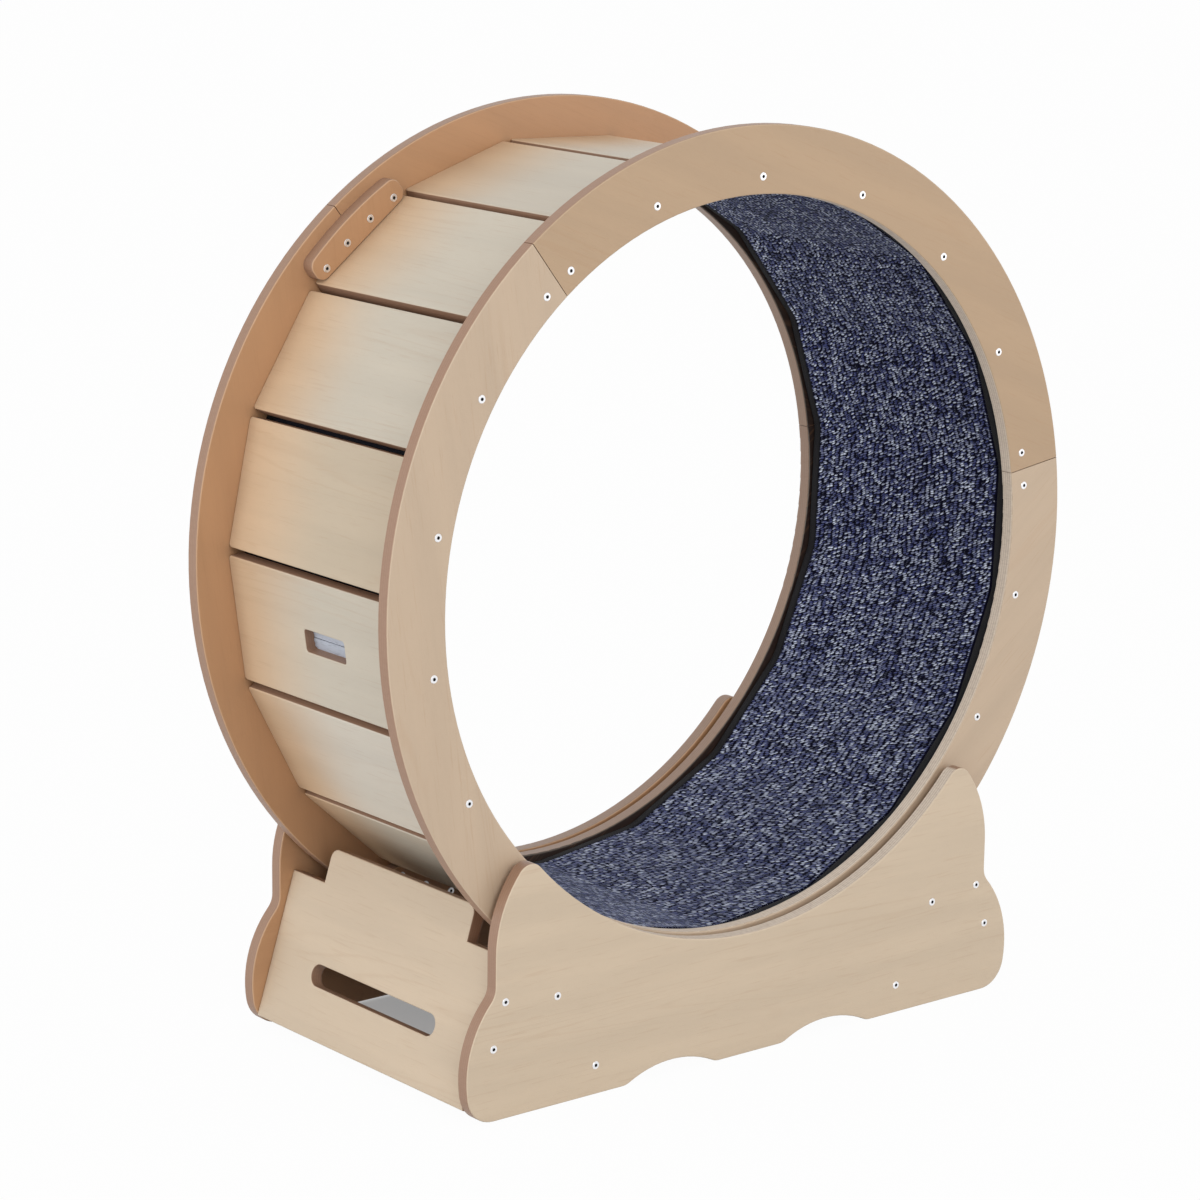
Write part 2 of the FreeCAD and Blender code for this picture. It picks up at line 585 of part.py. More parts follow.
def end_panel(label, right):
    """A leaning end of the base. Its own +Z runs up the slope and +X points inwards."""
    body = new_body(label)
    wide, tab = f"{PANEL_GAP} / 2", "Dims.tab_width / 2"
    low, mid, top = "Dims.end_bottom", "Dims.end_shoulder", "Dims.end_top"
    outline = polygon_sketch(body, "outline", "YZ_Plane", [
        (f"-{wide}", low), (wide, low), (wide, mid), (tab, mid),
        (tab, top), (f"-{tab}", top), (f"-{tab}", mid), (f"-{wide}", mid),
    ])
    pad(body, outline, "Dims.board")
    round_edges(body, "Dims.tab_corner", runs_along(X_AXIS, above=D["end_shoulder"] + 1))
    sizes = ("Dims.handle_middle", "Dims.handle_length", "Dims.handle_height")
    pocket(body, slot_sketch(body, "handle", "YZ_Plane", *sizes))
    round_edges(body, "Dims.arris", lies_in("X", (0, D["board"])))
    centres = [("Dims.board / 2", f"Dims.end_screw_{which}") for which in ("low", "high")]
    pilots = circles_sketch(body, "pilots", "XZ_Plane", centres, "Dims.core_diameter", wide)
    holes = pocket(body, pilots, SCREW_DEPTH)
    mirror(body, [holes], "XZ_Plane")
    lean = FreeCAD.Rotation(Y_AXIS, D["end_lean"])
    if right:
        place(body, FreeCAD.Rotation(Z_AXIS, 180) * lean, x="Dims.end_foot")
    else:
        place(body, lean, x="-Dims.end_foot")


def stretcher(label, side):
    """A rail low down between the side panels."""
    body = new_body(label)
    half = "Dims.board / 2"
    rise = "Dims.stretcher_height / 2"
    outline = polygon_sketch(body, "section", "XZ_Plane", [
        (f"-{half}", f"-{rise}"), (half, f"-{rise}"), (half, rise), (f"-{half}", rise),
    ])
    pad(body, outline, PANEL_GAP, symmetric=True)
    round_edges(body, "Dims.arris", runs_along(Y_AXIS))
    end = f"{PANEL_GAP} / 2"
    pilots = circles_sketch(body, "pilots", "XZ_Plane", [("0", "0")], "Dims.core_diameter", end)
    holes = pocket(body, pilots, SCREW_DEPTH)
    mirror(body, [holes], "XZ_Plane")
    place(body, FreeCAD.Rotation(), x=f"{side}Dims.stretcher_reach", z="Dims.stretcher_middle")


def roller_shaft(label, side):
    """A steel shaft from panel to panel, with a threaded hole in each end."""
    body = new_body(label)
    section = circles_sketch(body, "section", "XZ_Plane", [("0", "0")], "2 * Dims.shaft_radius")
    pad(body, section, PANEL_GAP, symmetric=True)
    end = f"{PANEL_GAP} / 2"
    hole = circles_sketch(body, "hole", "XZ_Plane", [("0", "0")], "2 * Dims.bolt_radius", end)
    holes = pocket(body, hole, "Dims.shaft_hole_depth")
    mirror(body, [holes], "XZ_Plane")
    place(body, FreeCAD.Rotation(), x=f"{side}{ROLLER_REACH}", z=ROLLER_HEIGHT)


def place_roller_piece(body, side, far):
    """Put a piece that is centred on its roller in place."""
    ring_middle = "(Dims.wheel_width - Dims.board) / 2"
    y = ring_middle if far else f"-{ring_middle}"
    place(body, FreeCAD.Rotation(), x=f"{side}{ROLLER_REACH}", y=y, z=ROLLER_HEIGHT)


def roller_hub(label, side, far):
    """A grooved hub with a bearing seat in each face."""
    body = new_body(label)
    half = f"{HUB_WIDTH} / 2"
    root = "Dims.groove_width / 2"
    rim = f"({half} - Dims.flange_edge)"
    seat = f"({half} - Dims.bearing_width)"
    section = polygon_sketch(body, "section", "XY_Plane", [
        ("Dims.bearing_radius", f"-{half}"), ("Dims.flange_radius", f"-{half}"),
        ("Dims.flange_radius", f"-{rim}"), ("Dims.hub_radius", f"-{root}"),
        ("Dims.hub_radius", root), ("Dims.flange_radius", rim),
        ("Dims.flange_radius", half), ("Dims.bearing_radius", half),
        ("Dims.bearing_radius", seat), ("Dims.web_bore", seat),
        ("Dims.web_bore", f"-{seat}"), ("Dims.bearing_radius", f"-{seat}"),
    ])
    revolve(body, section)
    place_roller_piece(body, side, far)


def roller_tyre(label, side, far):
    """The rubber tread that the ring runs on."""
    body = new_body(label)
    half = "(Dims.groove_width / 2)"
    tread = f"({half} - Dims.tyre_chamfer)"
    crown = "Dims.tyre_radius - Dims.tyre_chamfer"
    section = polygon_sketch(body, "section", "XY_Plane", [
        ("Dims.hub_radius", f"-{half}"), (crown, f"-{half}"),
        ("Dims.tyre_radius", f"-{tread}"), ("Dims.tyre_radius", tread),
        (crown, half), ("Dims.hub_radius", half),
    ])
    revolve(body, section)
    place_roller_piece(body, side, far)


# ---------------------------------------------------------------- groups of identical pieces

def group(label, pieces):
    """One sub-part made of separate, identical solids."""
    feature = doc.addObject("Part::Feature", label)
    feature.Label = label
    feature.Shape = Part.makeCompound(pieces)
    SUBPARTS.append(feature)


def tube(outer, inner, length):
    """A tube along +Y, from y = 0."""
    wall = Part.makeCylinder(outer, length, V(0, 0, 0), Y_AXIS)
    return wall.cut(Part.makeCylinder(inner, length, V(0, 0, 0), Y_AXIS))


def socket_screw(length, core_diameter, neck_diameter=None):
    """A screw along +Y, from the board's face at y = 0. A neck, where it has one, fills that board."""
    play = D["thread_gap"]
    head_radius = D["head_diameter"] / 2 - play
    core_radius = core_diameter / 2 - play
    top = -D["head_proud"]
    seat = D["head_depth"]
    corners = [
        V(0, top, 0),
        V(head_radius - D["head_ease"], top, 0),
        V(head_radius, top + D["head_ease"], 0),
        V(head_radius, seat, 0),
    ]
    if neck_diameter:
        neck_radius = neck_diameter / 2 - play
        corners += [V(neck_radius, seat, 0), V(neck_radius, D["board"], 0), V(core_radius, D["board"], 0)]
    else:
        corners.append(V(core_radius, seat, 0))
    corners += [V(core_radius, length - D["screw_tip"], 0), V(0, length, 0)]
    outline = Part.Face(Part.makePolygon(corners + corners[:1]))
    screw = outline.revolve(V(0, 0, 0), Y_AXIS, 360)
    flat_to_corner = 1 / math.sqrt(3)
    across = D["socket_width"] * flat_to_corner
    ring = [V(across * math.cos(math.radians(60 * i)), top, across * math.sin(math.radians(60 * i)))
            for i in range(7)]
    socket = Part.Face(Part.makePolygon(ring)).extrude(V(0, D["socket_depth"], 0))
    return screw.cut(socket)


def copies(piece, places):
    """The piece at each (x, y, z); where the last value is true it is turned to point along -Y."""
    result = []
    for x, y, z, turned in places:
        copy = piece.copy()
        turn = FreeCAD.Rotation(Z_AXIS, 180 if turned else 0)
        copy.Placement = FreeCAD.Placement(V(x, y, z), turn)
        result.append(copy)
    return result


def drum_point(radius, angle):
    turn = math.radians(angle)
    return radius * math.cos(turn), D["axis_height"] + radius * math.sin(turn)


def both_faces(points, depth):
    """Each (x, z) on the near side at y = -depth, pointing inwards, and again on the far side."""
    return [(x, y, z, turned) for x, z in points for y, turned in ((-depth, False), (depth, True))]


def ring_screws():
    """The screws that hold the slats, through the rings."""
    angles = []
    for k in range(SLAT_COUNT):
        angle = D["seam_angle"] + SLAT_STEP * k
        at_seam = k % SLATS_PER_SEGMENT == 0
        spread = D["seam_screw_angle"] if at_seam else 0
        angles += [angle - spread, angle + spread] if at_seam else [angle]
    circle = D["slat_face_radius"] - D["board"] / 2
    screw = socket_screw(D["screw_length"], D["core_diameter"], D["neck_diameter"])
    points = [drum_point(circle, angle) for angle in angles]
    group("ring_screws", copies(screw, both_faces(points, D["wheel_width"] / 2)))


def splice_screws():
    """The screws of the splice plates, driven outwards from the plates' inner faces."""
    seams = [D["seam_angle"] + SEGMENT_STEP * k for k in range(SEGMENT_COUNT)]
    offsets = [sign * D[f"splice_screw_{which}"] for sign in (-1, 1) for which in SPLICE_ROWS]
    angles = [seam + offset for seam in seams for offset in offsets]
    screw = socket_screw(D["splice_screw_length"], D["core_diameter"])
    points = [drum_point(D["splice_screw_radius"], angle) for angle in angles]
    face = D["wheel_width"] / 2 - 2 * D["board"]
    places = [(x, side * face, z, side < 0) for x, z in points for side in (-1, 1)]
    group("splice_screws", copies(screw, places))


def base_screws():
    """The screws through the side panels into the end panels and stretchers."""
    lean = math.radians(D["end_lean"])
    half = D["board"] / 2
    points = [(D["stretcher_reach"], D["stretcher_middle"])]
    for height in (D["end_screw_low"], D["end_screw_high"]):
        x = D["end_foot"] - height * math.sin(lean) - half * math.cos(lean)
        points.append((x, height * math.cos(lean) - half * math.sin(lean)))
    points += [(-x, z) for x, z in points]
    screw = socket_screw(D["screw_length"], D["core_diameter"], D["neck_diameter"])
    group("base_screws", copies(screw, both_faces(points, D["base_width"] / 2)))


def roller_points():
    """Both shafts' axes in the XZ plane, left and then right."""
    orbit = D["wheel_radius"] + D["rolling_gap"] + D["tyre_radius"]
    angle = math.radians(D["roller_angle"])
    z = D["axis_height"] - orbit * math.cos(angle)
    return [(side * orbit * math.sin(angle), z) for side in (-1, 1)]


def shaft_bolts():
    """The bolts through the side panels into the shafts' ends."""
    bolt = socket_screw(D["bolt_length"], 2 * D["bolt_radius"], D["neck_diameter"])
    group("shaft_bolts", copies(bolt, both_faces(roller_points(), D["base_width"] / 2)))


RING_MIDDLE = (D["wheel_width"] - D["board"]) / 2
HUB_HALF = D["groove_width"] / 2 + D["flange_thickness"]
SHAFT_PLAY = D["shaft_radius"] + D["running_gap"]


def roller_sleeves():
    """The short sleeves on the shafts, outside each roller and between its two bearings."""
    panel_face = D["base_width"] / 2 - D["board"]
    outside = tube(D["sleeve_radius"], SHAFT_PLAY, panel_face - RING_MIDDLE - HUB_HALF)
    between = 2 * (HUB_HALF - D["bearing_width"])
    inside = tube(D["sleeve_radius"], SHAFT_PLAY, between)
    solids = copies(outside, both_faces(roller_points(), panel_face))
    solids += copies(inside, both_faces(roller_points(), RING_MIDDLE + between / 2))
    group("roller_sleeves", solids)


def roller_distance_tubes():
    """The long tubes on the shafts, between the near and far rollers."""
    reach = RING_MIDDLE - HUB_HALF
    long_tube = tube(D["sleeve_radius"], SHAFT_PLAY, 2 * reach)
    group("roller_distance_tubes", copies(long_tube, [(x, -reach, z, False) for x, z in roller_points()]))


def bearing_places(x, z, sides=(-1, 1)):
    """Where the bearings of the rollers on one shaft start: two in each roller."""
    starts = (-HUB_HALF, HUB_HALF - D["bearing_width"])
    return [(x, side * RING_MIDDLE + start, z, False) for side in sides for start in starts]


def raceway():
    """The ring-shaped room that a bearing's balls run in."""
    pitch = (D["outer_land"] + D["inner_land"]) / 2
    middle = V(0, D["bearing_width"] / 2, 0)
    return Part.makeTorus(pitch, D["ball_radius"] + D["running_gap"], middle, Y_AXIS)


def bearing_inner_rings():
    """The still rings of all eight bearings, on the shafts."""
    ring = tube(D["inner_land"], SHAFT_PLAY, D["bearing_width"]).cut(raceway())
    places = [item for x, z in roller_points() for item in bearing_places(x, z)]
    group("bearing_inner_rings", copies(ring, places))


def roller_bearings(label, x, z, side):
    """The turning part of one roller's two bearings: outer rings and balls."""
    ring = tube(D["bearing_radius"], D["outer_land"], D["bearing_width"]).cut(raceway())
    pitch = (D["outer_land"] + D["inner_land"]) / 2
    places = bearing_places(x, z, (side,))
    solids = copies(ring, places)
    count = int(D["ball_count"])
    for start_x, start_y, start_z, turned in places:
        for i in range(count):
            turn = 2 * math.pi * i / count
            middle = V(pitch * math.cos(turn), D["bearing_width"] / 2, pitch * math.sin(turn))
            solids.append(Part.makeSphere(D["ball_radius"], middle + V(start_x, start_y, start_z)))
    group(label, solids)


# ---------------------------------------------------------------- the whole wheel

for far, name in ((False, "near"), (True, "far")):
    for k in range(SEGMENT_COUNT):
        seam = D["seam_angle"] + SEGMENT_STEP * k
        ring_segment(f"{name}_ring_segment_{k + 1}", seam + SEGMENT_STEP / 2, far)
        splice_plate(f"{name}_splice_plate_{k + 1}", seam, far)

for k in range(SLAT_COUNT):
    angle = D["seam_angle"] + SLAT_STEP * k
    if k == SLOTTED_SLAT:
        slat("slotted_slat", angle, slotted=True)
    else:
        slat(f"slat_{k + 1:02d}", angle, seam=k % SLATS_PER_SEGMENT == 0)

BINDING_MIDDLE = "(Dims.pile_width + Dims.binding_width) / 2"
lining("carpet_runner", "Dims.pile_thickness", "Dims.pile_width", "0")
lining("carpet_binding_near", "Dims.binding_thickness", "Dims.binding_width", f"-{BINDING_MIDDLE}")
lining("carpet_binding_far", "Dims.binding_thickness", "Dims.binding_width", BINDING_MIDDLE)

for far, name in ((False, "near"), (True, "far")):
    side_panel(f"{name}_side_panel", far)

for side, name in (("-", "left"), ("", "right")):
    end_panel(f"{name}_end_panel", right=side == "")
    stretcher(f"{name}_stretcher", side)
    roller_shaft(f"{name}_roller_shaft", side)
    x, z = roller_points()[0 if side == "-" else 1]
    for far, end_name in ((False, "near"), (True, "far")):
        roller = f"{end_name}_{name}_roller"
        roller_hub(f"{roller}_hub", side, far)
        roller_tyre(f"{roller}_tyre", side, far)
        roller_bearings(f"{roller}_bearings", x, z, 1 if far else -1)

ring_screws()
splice_screws()
base_screws()
shaft_bolts()
roller_sleeves()
roller_distance_tubes()
bearing_inner_rings()

doc.recompute()
for item in doc.Objects:
    if "Invalid" in item.State or "Error" in item.State:
        raise RuntimeError(f"{item.Label} failed: {item.State}")
for part in SUBPARTS:
    if part.Shape.isNull() or not part.Shape.isValid():
        raise RuntimeError(f"{part.Label} has no valid shape")

os.makedirs("parts", exist_ok=True)
for part in SUBPARTS:
    part.Shape.exportStep(f"parts/{part.Label}.step")
print(f"{len(SUBPARTS)} sub-parts written")
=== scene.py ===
import json
import math

import bmesh
import bpy
from bpy.props import FloatProperty, FloatVectorProperty, IntProperty
from mathutils import Matrix, Vector


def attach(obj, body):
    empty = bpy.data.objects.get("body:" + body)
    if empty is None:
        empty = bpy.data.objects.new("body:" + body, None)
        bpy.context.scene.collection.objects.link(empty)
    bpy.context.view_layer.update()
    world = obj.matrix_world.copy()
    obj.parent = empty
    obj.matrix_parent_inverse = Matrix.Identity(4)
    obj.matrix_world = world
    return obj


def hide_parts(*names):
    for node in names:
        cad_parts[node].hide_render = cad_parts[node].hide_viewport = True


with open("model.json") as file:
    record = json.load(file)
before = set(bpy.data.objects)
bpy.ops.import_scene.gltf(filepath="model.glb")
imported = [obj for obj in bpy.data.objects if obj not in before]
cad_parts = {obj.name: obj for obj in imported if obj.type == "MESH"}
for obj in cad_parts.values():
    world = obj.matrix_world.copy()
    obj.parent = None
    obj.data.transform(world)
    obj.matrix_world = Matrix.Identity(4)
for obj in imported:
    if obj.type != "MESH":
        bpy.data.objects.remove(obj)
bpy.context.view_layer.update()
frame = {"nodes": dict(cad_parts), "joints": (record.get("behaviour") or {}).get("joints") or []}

bl_info = {
    "name": "Cat exercise wheel",
    "version": (1, 0, 0),
    "blender": (4, 5, 0),
    "location": "View3D > Sidebar > Cat wheel",
    "description": "Carpet, boards, steel and studio of a cat exercise wheel",
    "category": "Object",
}

AXIS_HEIGHT = next(joint["pos_m"][2] for joint in frame["joints"] if joint["name"] == "wheel_spin")
DRUM_AXIS = (0.0, 0.0, AXIS_HEIGHT)
RING_SEGMENTS = 3
SLATS = sorted(name for name in frame["nodes"] if "slat" in name)

# a board's edge belongs to its round cut within this distance from the axis
RING_CUT = 0.449
PANEL_CUT = 0.451
# the ring's strip beside a binding: all painted shadow within the first distance from the axis, none past
# the second
BINDING_SHADE = (0.4600, 0.4612)
PLY_PITCH = 0.0036
# gap between the slats and the carpet or its bindings
LINING_GAP = 0.0004


def paint(red, green, blue):
    """A display colour, 0 to 255, as the linear values that Blender stores."""
    return tuple(((c / 255 + 0.055) / 1.055) ** 2.4 if c > 10 else c / 255 / 12.92
                 for c in (red, green, blue))


def colour_setting(name, description, display):
    return FloatVectorProperty(name=name, description=description, default=paint(*display), size=3,
                               subtype="COLOR", min=0, max=1)


def length_setting(name, description, metres):
    return FloatProperty(name=name, description=description, default=metres, unit="LENGTH",
                         subtype="DISTANCE")


def angle_setting(name, description, degrees):
    return FloatProperty(name=name, description=description, default=math.radians(degrees), subtype="ANGLE")


# ---------------------------------------------------------------- settings

class DrumSettings(bpy.types.PropertyGroup):
    """Sizes of the drum that the looks depend on."""
    slat_count: IntProperty(name="Slats", description="Slats round the drum", default=18)
    seam_angle: angle_setting("First seam", "Angle of the first slat and seam, from +X towards +Z", 8.2)
    slat_back: length_setting("Slat's inner face", "Axis to the face that the carpet lies on", 0.460)
    end_lean: angle_setting("Lean", "End panels lean inwards by this angle", 17.5)


class FastenerSettings(bpy.types.PropertyGroup):
    """Where the screws' heads are, measured from the middle plane of the wheel."""
    ring_head: length_setting("Ring screws", "Middle plane to the heads on the rings", 0.2016)
    splice_head: length_setting("Splice screws", "Middle plane to the heads on the splice plates", 0.1644)
    base_head: length_setting("Base screws", "Middle plane to the heads on the side panels", 0.2291)


class CarpetSettings(bpy.types.PropertyGroup):
    """Sizes of the carpet runner and its bindings."""
    pile_face: length_setting("Pile face", "Axis to the middle of the pile's face on a slat", 0.4502)
    pile_width: length_setting("Pile width", "Carpet between its two bindings", 0.336)
    grid: length_setting("Grid", "Spacing of the pile's mesh", 0.006)
    unevenness: length_setting("Unevenness", "Rise and fall of the pile's face", 0.0012)
    bend: length_setting("Bend", "Radius of the bend where two slats meet", 0.060)
    backing: length_setting("Backing", "Thickness of the ribbed backing", 0.0022)
    rib_pitch: length_setting("Rib pitch", "Spacing of the backing's ribs", 0.0052)
    tuft_length: length_setting("Tuft length", "Spacing of the tufts across the drum", 0.0076)
    tuft_width: length_setting("Tuft width", "Spacing of the tufts along the runner", 0.0029)
    tuft_slant: FloatProperty(name="Tuft slant", description="How far the tufts lie askew", default=0.42)
    binding_width: length_setting("Binding width", "Edge binding, across", 0.014)
    binding_face: length_setting("Binding face", "Axis to the binding's face on a slat", 0.4510)
    cut_length: length_setting("Cut length", "Length of the runner before it is laid", 2.89)
    tape_width: length_setting("Tape width", "Binding tape before it is folded round the edge", 0.024)
    butt_gap: length_setting("Butt gap", "Gap where the runner's two ends meet", 0.0008)


class ColourSettings(bpy.types.PropertyGroup):
    """Colours of the finishes, and the light and shade painted into some of them."""
    ring_face: colour_setting("Ring face", "Faces of the ring boards", (188, 166, 142))
    ring_warm: colour_setting("Warm ring face", "Faces of the warmer ring boards", (177, 149, 119))
    slat_face: colour_setting("Slat face", "Faces of the slats", (193, 184, 168))
    # painted shade and warm bounce light on the slats, towards the far ring
    slat_far_painted_bounce: colour_setting("Warm slat", "Warmer wood of the slats, towards the far ring", (202, 173, 141))
    sandy_slat: colour_setting("Sandy slat", "Face of the sandiest slat", (187, 171, 148))
    # painted light: one slat's face made lighter for the light that falls on the lower slats
    painted_light_slat: colour_setting("Pale slat", "Face of the palest slat", (204, 196, 182))
    base_face: colour_setting("Base face", "Faces of the base boards", (200, 181, 157))
    # painted shade and warm bounce light on faces that look into the wheel
    inner_painted_shade: colour_setting("Inner face", "Faces that look into the wheel", (183, 140, 103))
    board_edge: colour_setting("Board edge", "Sawn edges of all the boards", (156, 123, 101))
    # painted light on the edges of the near rim and round cut, which face up to the light
    near_rim_painted_light: colour_setting("Rim edge", "Sanded edges of the near rim and round cut", (226, 210, 191))
    # painted shade on the edges of the far rim and round cut
    far_rim_painted_shade: colour_setting("Far rim edge", "Edges of the far rim and round cut", (156, 130, 112))
    # painted shadow on the rings' strip beside the bindings
    rim_painted_shadow: colour_setting("Rim shade", "Stained strip beside the bindings", (46, 33, 28))
    # painted highlight along the boards' arrises
    arris_highlight: colour_setting("Arris", "Light line where a board's face meets its edge", (238, 222, 196))
    ply_line: colour_setting("Ply line", "Darker plies in a board's edge", (134, 98, 74))
    grain_line: colour_setting("Grain line", "Growth lines in a board's face", (164, 122, 84))
    pile_dark: colour_setting("Dark yarn", "Dark yarn of the carpet", (4, 4, 26))
    pile_mid: colour_setting("Middle yarn", "Middle yarn of the carpet", (70, 77, 130))
    pile_light: colour_setting("Light yarn", "Light yarn of the carpet", (230, 238, 255))
    binding: colour_setting("Binding", "Edge binding", (11, 10, 14))
    backing: colour_setting("Backing", "Back of the carpet", (186, 192, 204))
    bright_steel: colour_setting("Bright steel", "Screw heads and bearings", (244, 244, 246))
    # painted shade in the screws' sockets
    socket: colour_setting("Socket", "Sockets of the screws", (26, 25, 25))
    drawn_steel: colour_setting("Drawn steel", "Roller shafts", (176, 178, 182))
    aluminium: colour_setting("Aluminium", "Tubes and sleeves on the shafts", (196, 198, 202))
    hub: colour_setting("Hub", "Moulded hubs of the rollers", (38, 38, 41))
    tyre: colour_setting("Tyre", "Rubber tread of the rollers", (62, 62, 66))


class StudioSettings(bpy.types.PropertyGroup):
    """Camera and lamps."""
    eye: FloatVectorProperty(name="Eye", description="Place of the camera", size=3, unit="LENGTH",
                             subtype="TRANSLATION", default=(-3.0464, -3.6556, 1.6462))
    heading: angle_setting("Heading", "Direction that the camera looks from, from -Y towards -X", 39.248)
    elevation: angle_setting("Elevation", "How far the camera looks down", 13.254)
    roll: angle_setting("Roll", "Camera turned about its own line of sight", 0.746)
    lens: FloatProperty(name="Lens", description="Focal length", default=118.31, unit="CAMERA")
    room_light: FloatProperty(name="Room light", description="Strength of the light from all round",
                              default=0.85)
    floor_white: FloatProperty(name="Floor white", description="Share of plain white in the floor",
                               default=0.97, subtype="FACTOR")
    under_base: FloatProperty(name="Under the base", default=0.7, subtype="FACTOR",
                              description="Share of that white left out under the base")


SETTINGS = {
    "wheel_drum": DrumSettings,
    "wheel_fasteners": FastenerSettings,
    "wheel_carpet": CarpetSettings,
    "wheel_colours": ColourSettings,
    "wheel_studio": StudioSettings,
}


# ---------------------------------------------------------------- node helpers

def add_node(tree, kind, inputs=None, **options):
    """Add a node, set its options, and give its inputs values or links."""
    item = tree.nodes.new(kind)
    for name, value in options.items():
        setattr(item, name, value)
    for name, value in (inputs or {}).items():
        if isinstance(value, bpy.types.NodeSocket):
            tree.links.new(value, item.inputs[name])
        else:
            item.inputs[name].default_value = value
    return item


def maths(tree, operation, *values, clamp=False):
    item = add_node(tree, "ShaderNodeMath", dict(enumerate(values)), operation=operation, use_clamp=clamp)
    return item.outputs[0]


def ramp(tree, value, low, high, smooth=True):
    """0 where the value is under low, 1 where it is over high. Low may be the larger one."""
    kind = "SMOOTHSTEP" if smooth else "LINEAR"
    inputs = {"Value": value, "From Min": low, "From Max": high}
    return add_node(tree, "ShaderNodeMapRange", inputs, interpolation_type=kind).outputs["Result"]


def mix_colour(tree, factor, first, second, mode="MIX"):
    """Mix two colours. A plain colour has three values."""
    item = add_node(tree, "ShaderNodeMix", data_type="RGBA", blend_type=mode)
    for socket, value in zip((item.inputs[0], item.inputs[6], item.inputs[7]), (factor, first, second)):
        if isinstance(value, bpy.types.NodeSocket):
            tree.links.new(value, socket)
        elif isinstance(value, (int, float)):
            socket.default_value = value
        else:
            socket.default_value = (*value, 1.0)
    return item.outputs[2]


def combine(tree, x, y, z):
    return add_node(tree, "ShaderNodeCombineXYZ", {"X": x, "Y": y, "Z": z}).outputs[0]


def split(tree, vector):
    return add_node(tree, "ShaderNodeSeparateXYZ", {0: vector}).outputs


def stretch(tree, vector, scale):
    """The vector times three plain numbers."""
    return add_node(tree, "ShaderNodeVectorMath", {0: vector, 1: scale}, operation="MULTIPLY").outputs[0]


def noise(tree, vector, detail=2.0, roughness=0.5):
    inputs = {"Vector": vector, "Scale": 1.0, "Detail": detail, "Roughness": roughness}
    return add_node(tree, "ShaderNodeTexNoise", inputs).outputs[0]


def new_group(name, inputs, outputs):
    """An empty shader node group, with its input and output nodes."""
    tree = bpy.data.node_groups.new(name, "ShaderNodeTree")
    for label, kind, default in inputs:
        socket = tree.interface.new_socket(name=label, in_out="INPUT", socket_type=kind)
        if default is not None:
            socket.default_value = default
    for label, kind in outputs:
        tree.interface.new_socket(name=label, in_out="OUTPUT", socket_type=kind)
    return tree, tree.nodes.new("NodeGroupInput").outputs, tree.nodes.new("NodeGroupOutput").inputs


def use_group(tree, name, inputs):
    item = tree.nodes.new("ShaderNodeGroup")
    item.node_tree = bpy.data.node_groups[name]
    for label, value in inputs.items():
        if isinstance(value, bpy.types.NodeSocket):
            tree.links.new(value, item.inputs[label])
        else:
            item.inputs[label].default_value = value
    return item.outputs


# ---------------------------------------------------------------- shared effects

def make_drum_wrap(drum):
    """Unrolls the drum: how far round, across, which slat, how far from that slat's middle, and how deep."""
    number = "NodeSocketFloat"
    outputs = [(name, number) for name in ("Along", "Across", "Slat", "Offset", "Radius", "Facing")]
    tree, given, result = new_group(
        "drum_wrap", [("Vector", "NodeSocketVector", None), ("Normal", "NodeSocketVector", None)], outputs)
    x, y, z = split(tree, given["Vector"])
    height = maths(tree, "SUBTRACT", z, AXIS_HEIGHT)
    cos, sin = math.cos(drum.seam_angle), math.sin(drum.seam_angle)
    level = maths(tree, "ADD", maths(tree, "MULTIPLY", x, cos), maths(tree, "MULTIPLY", height, sin))
    rise = maths(tree, "SUBTRACT", maths(tree, "MULTIPLY", height, cos), maths(tree, "MULTIPLY", x, sin))
    angle = maths(tree, "ARCTAN2", rise, level)
    step = 2 * math.pi / drum.slat_count
    steps = maths(tree, "DIVIDE", angle, step)
    nearest = maths(tree, "FLOOR", maths(tree, "ADD", steps, 0.5))
    offset = maths(tree, "SUBTRACT", steps, nearest)
    radius = maths(tree, "SQRT", maths(tree, "ADD", maths(tree, "MULTIPLY", x, x),
                                       maths(tree, "MULTIPLY", height, height)))
    outward = combine(tree, maths(tree, "DIVIDE", x, radius), 0.0, maths(tree, "DIVIDE", height, radius))
    facing = add_node(tree, "ShaderNodeVectorMath", {0: outward, 1: given["Normal"]},
                      operation="DOT_PRODUCT")
    slat =maths(tree, "FLOORED_MODULO", nearest, float(drum.slat_count))
    tree.links.new(maths(tree, "MULTIPLY", angle, drum.slat_back), result["Along"])
    tree.links.new(y, result["Across"])
    tree.links.new(slat, result["Slat"])
    tree.links.new(maths(tree, "MULTIPLY", offset, step * drum.slat_back), result["Offset"])
    tree.links.new(radius, result["Radius"])
    tree.links.new(facing.outputs["Value"], result["Facing"])


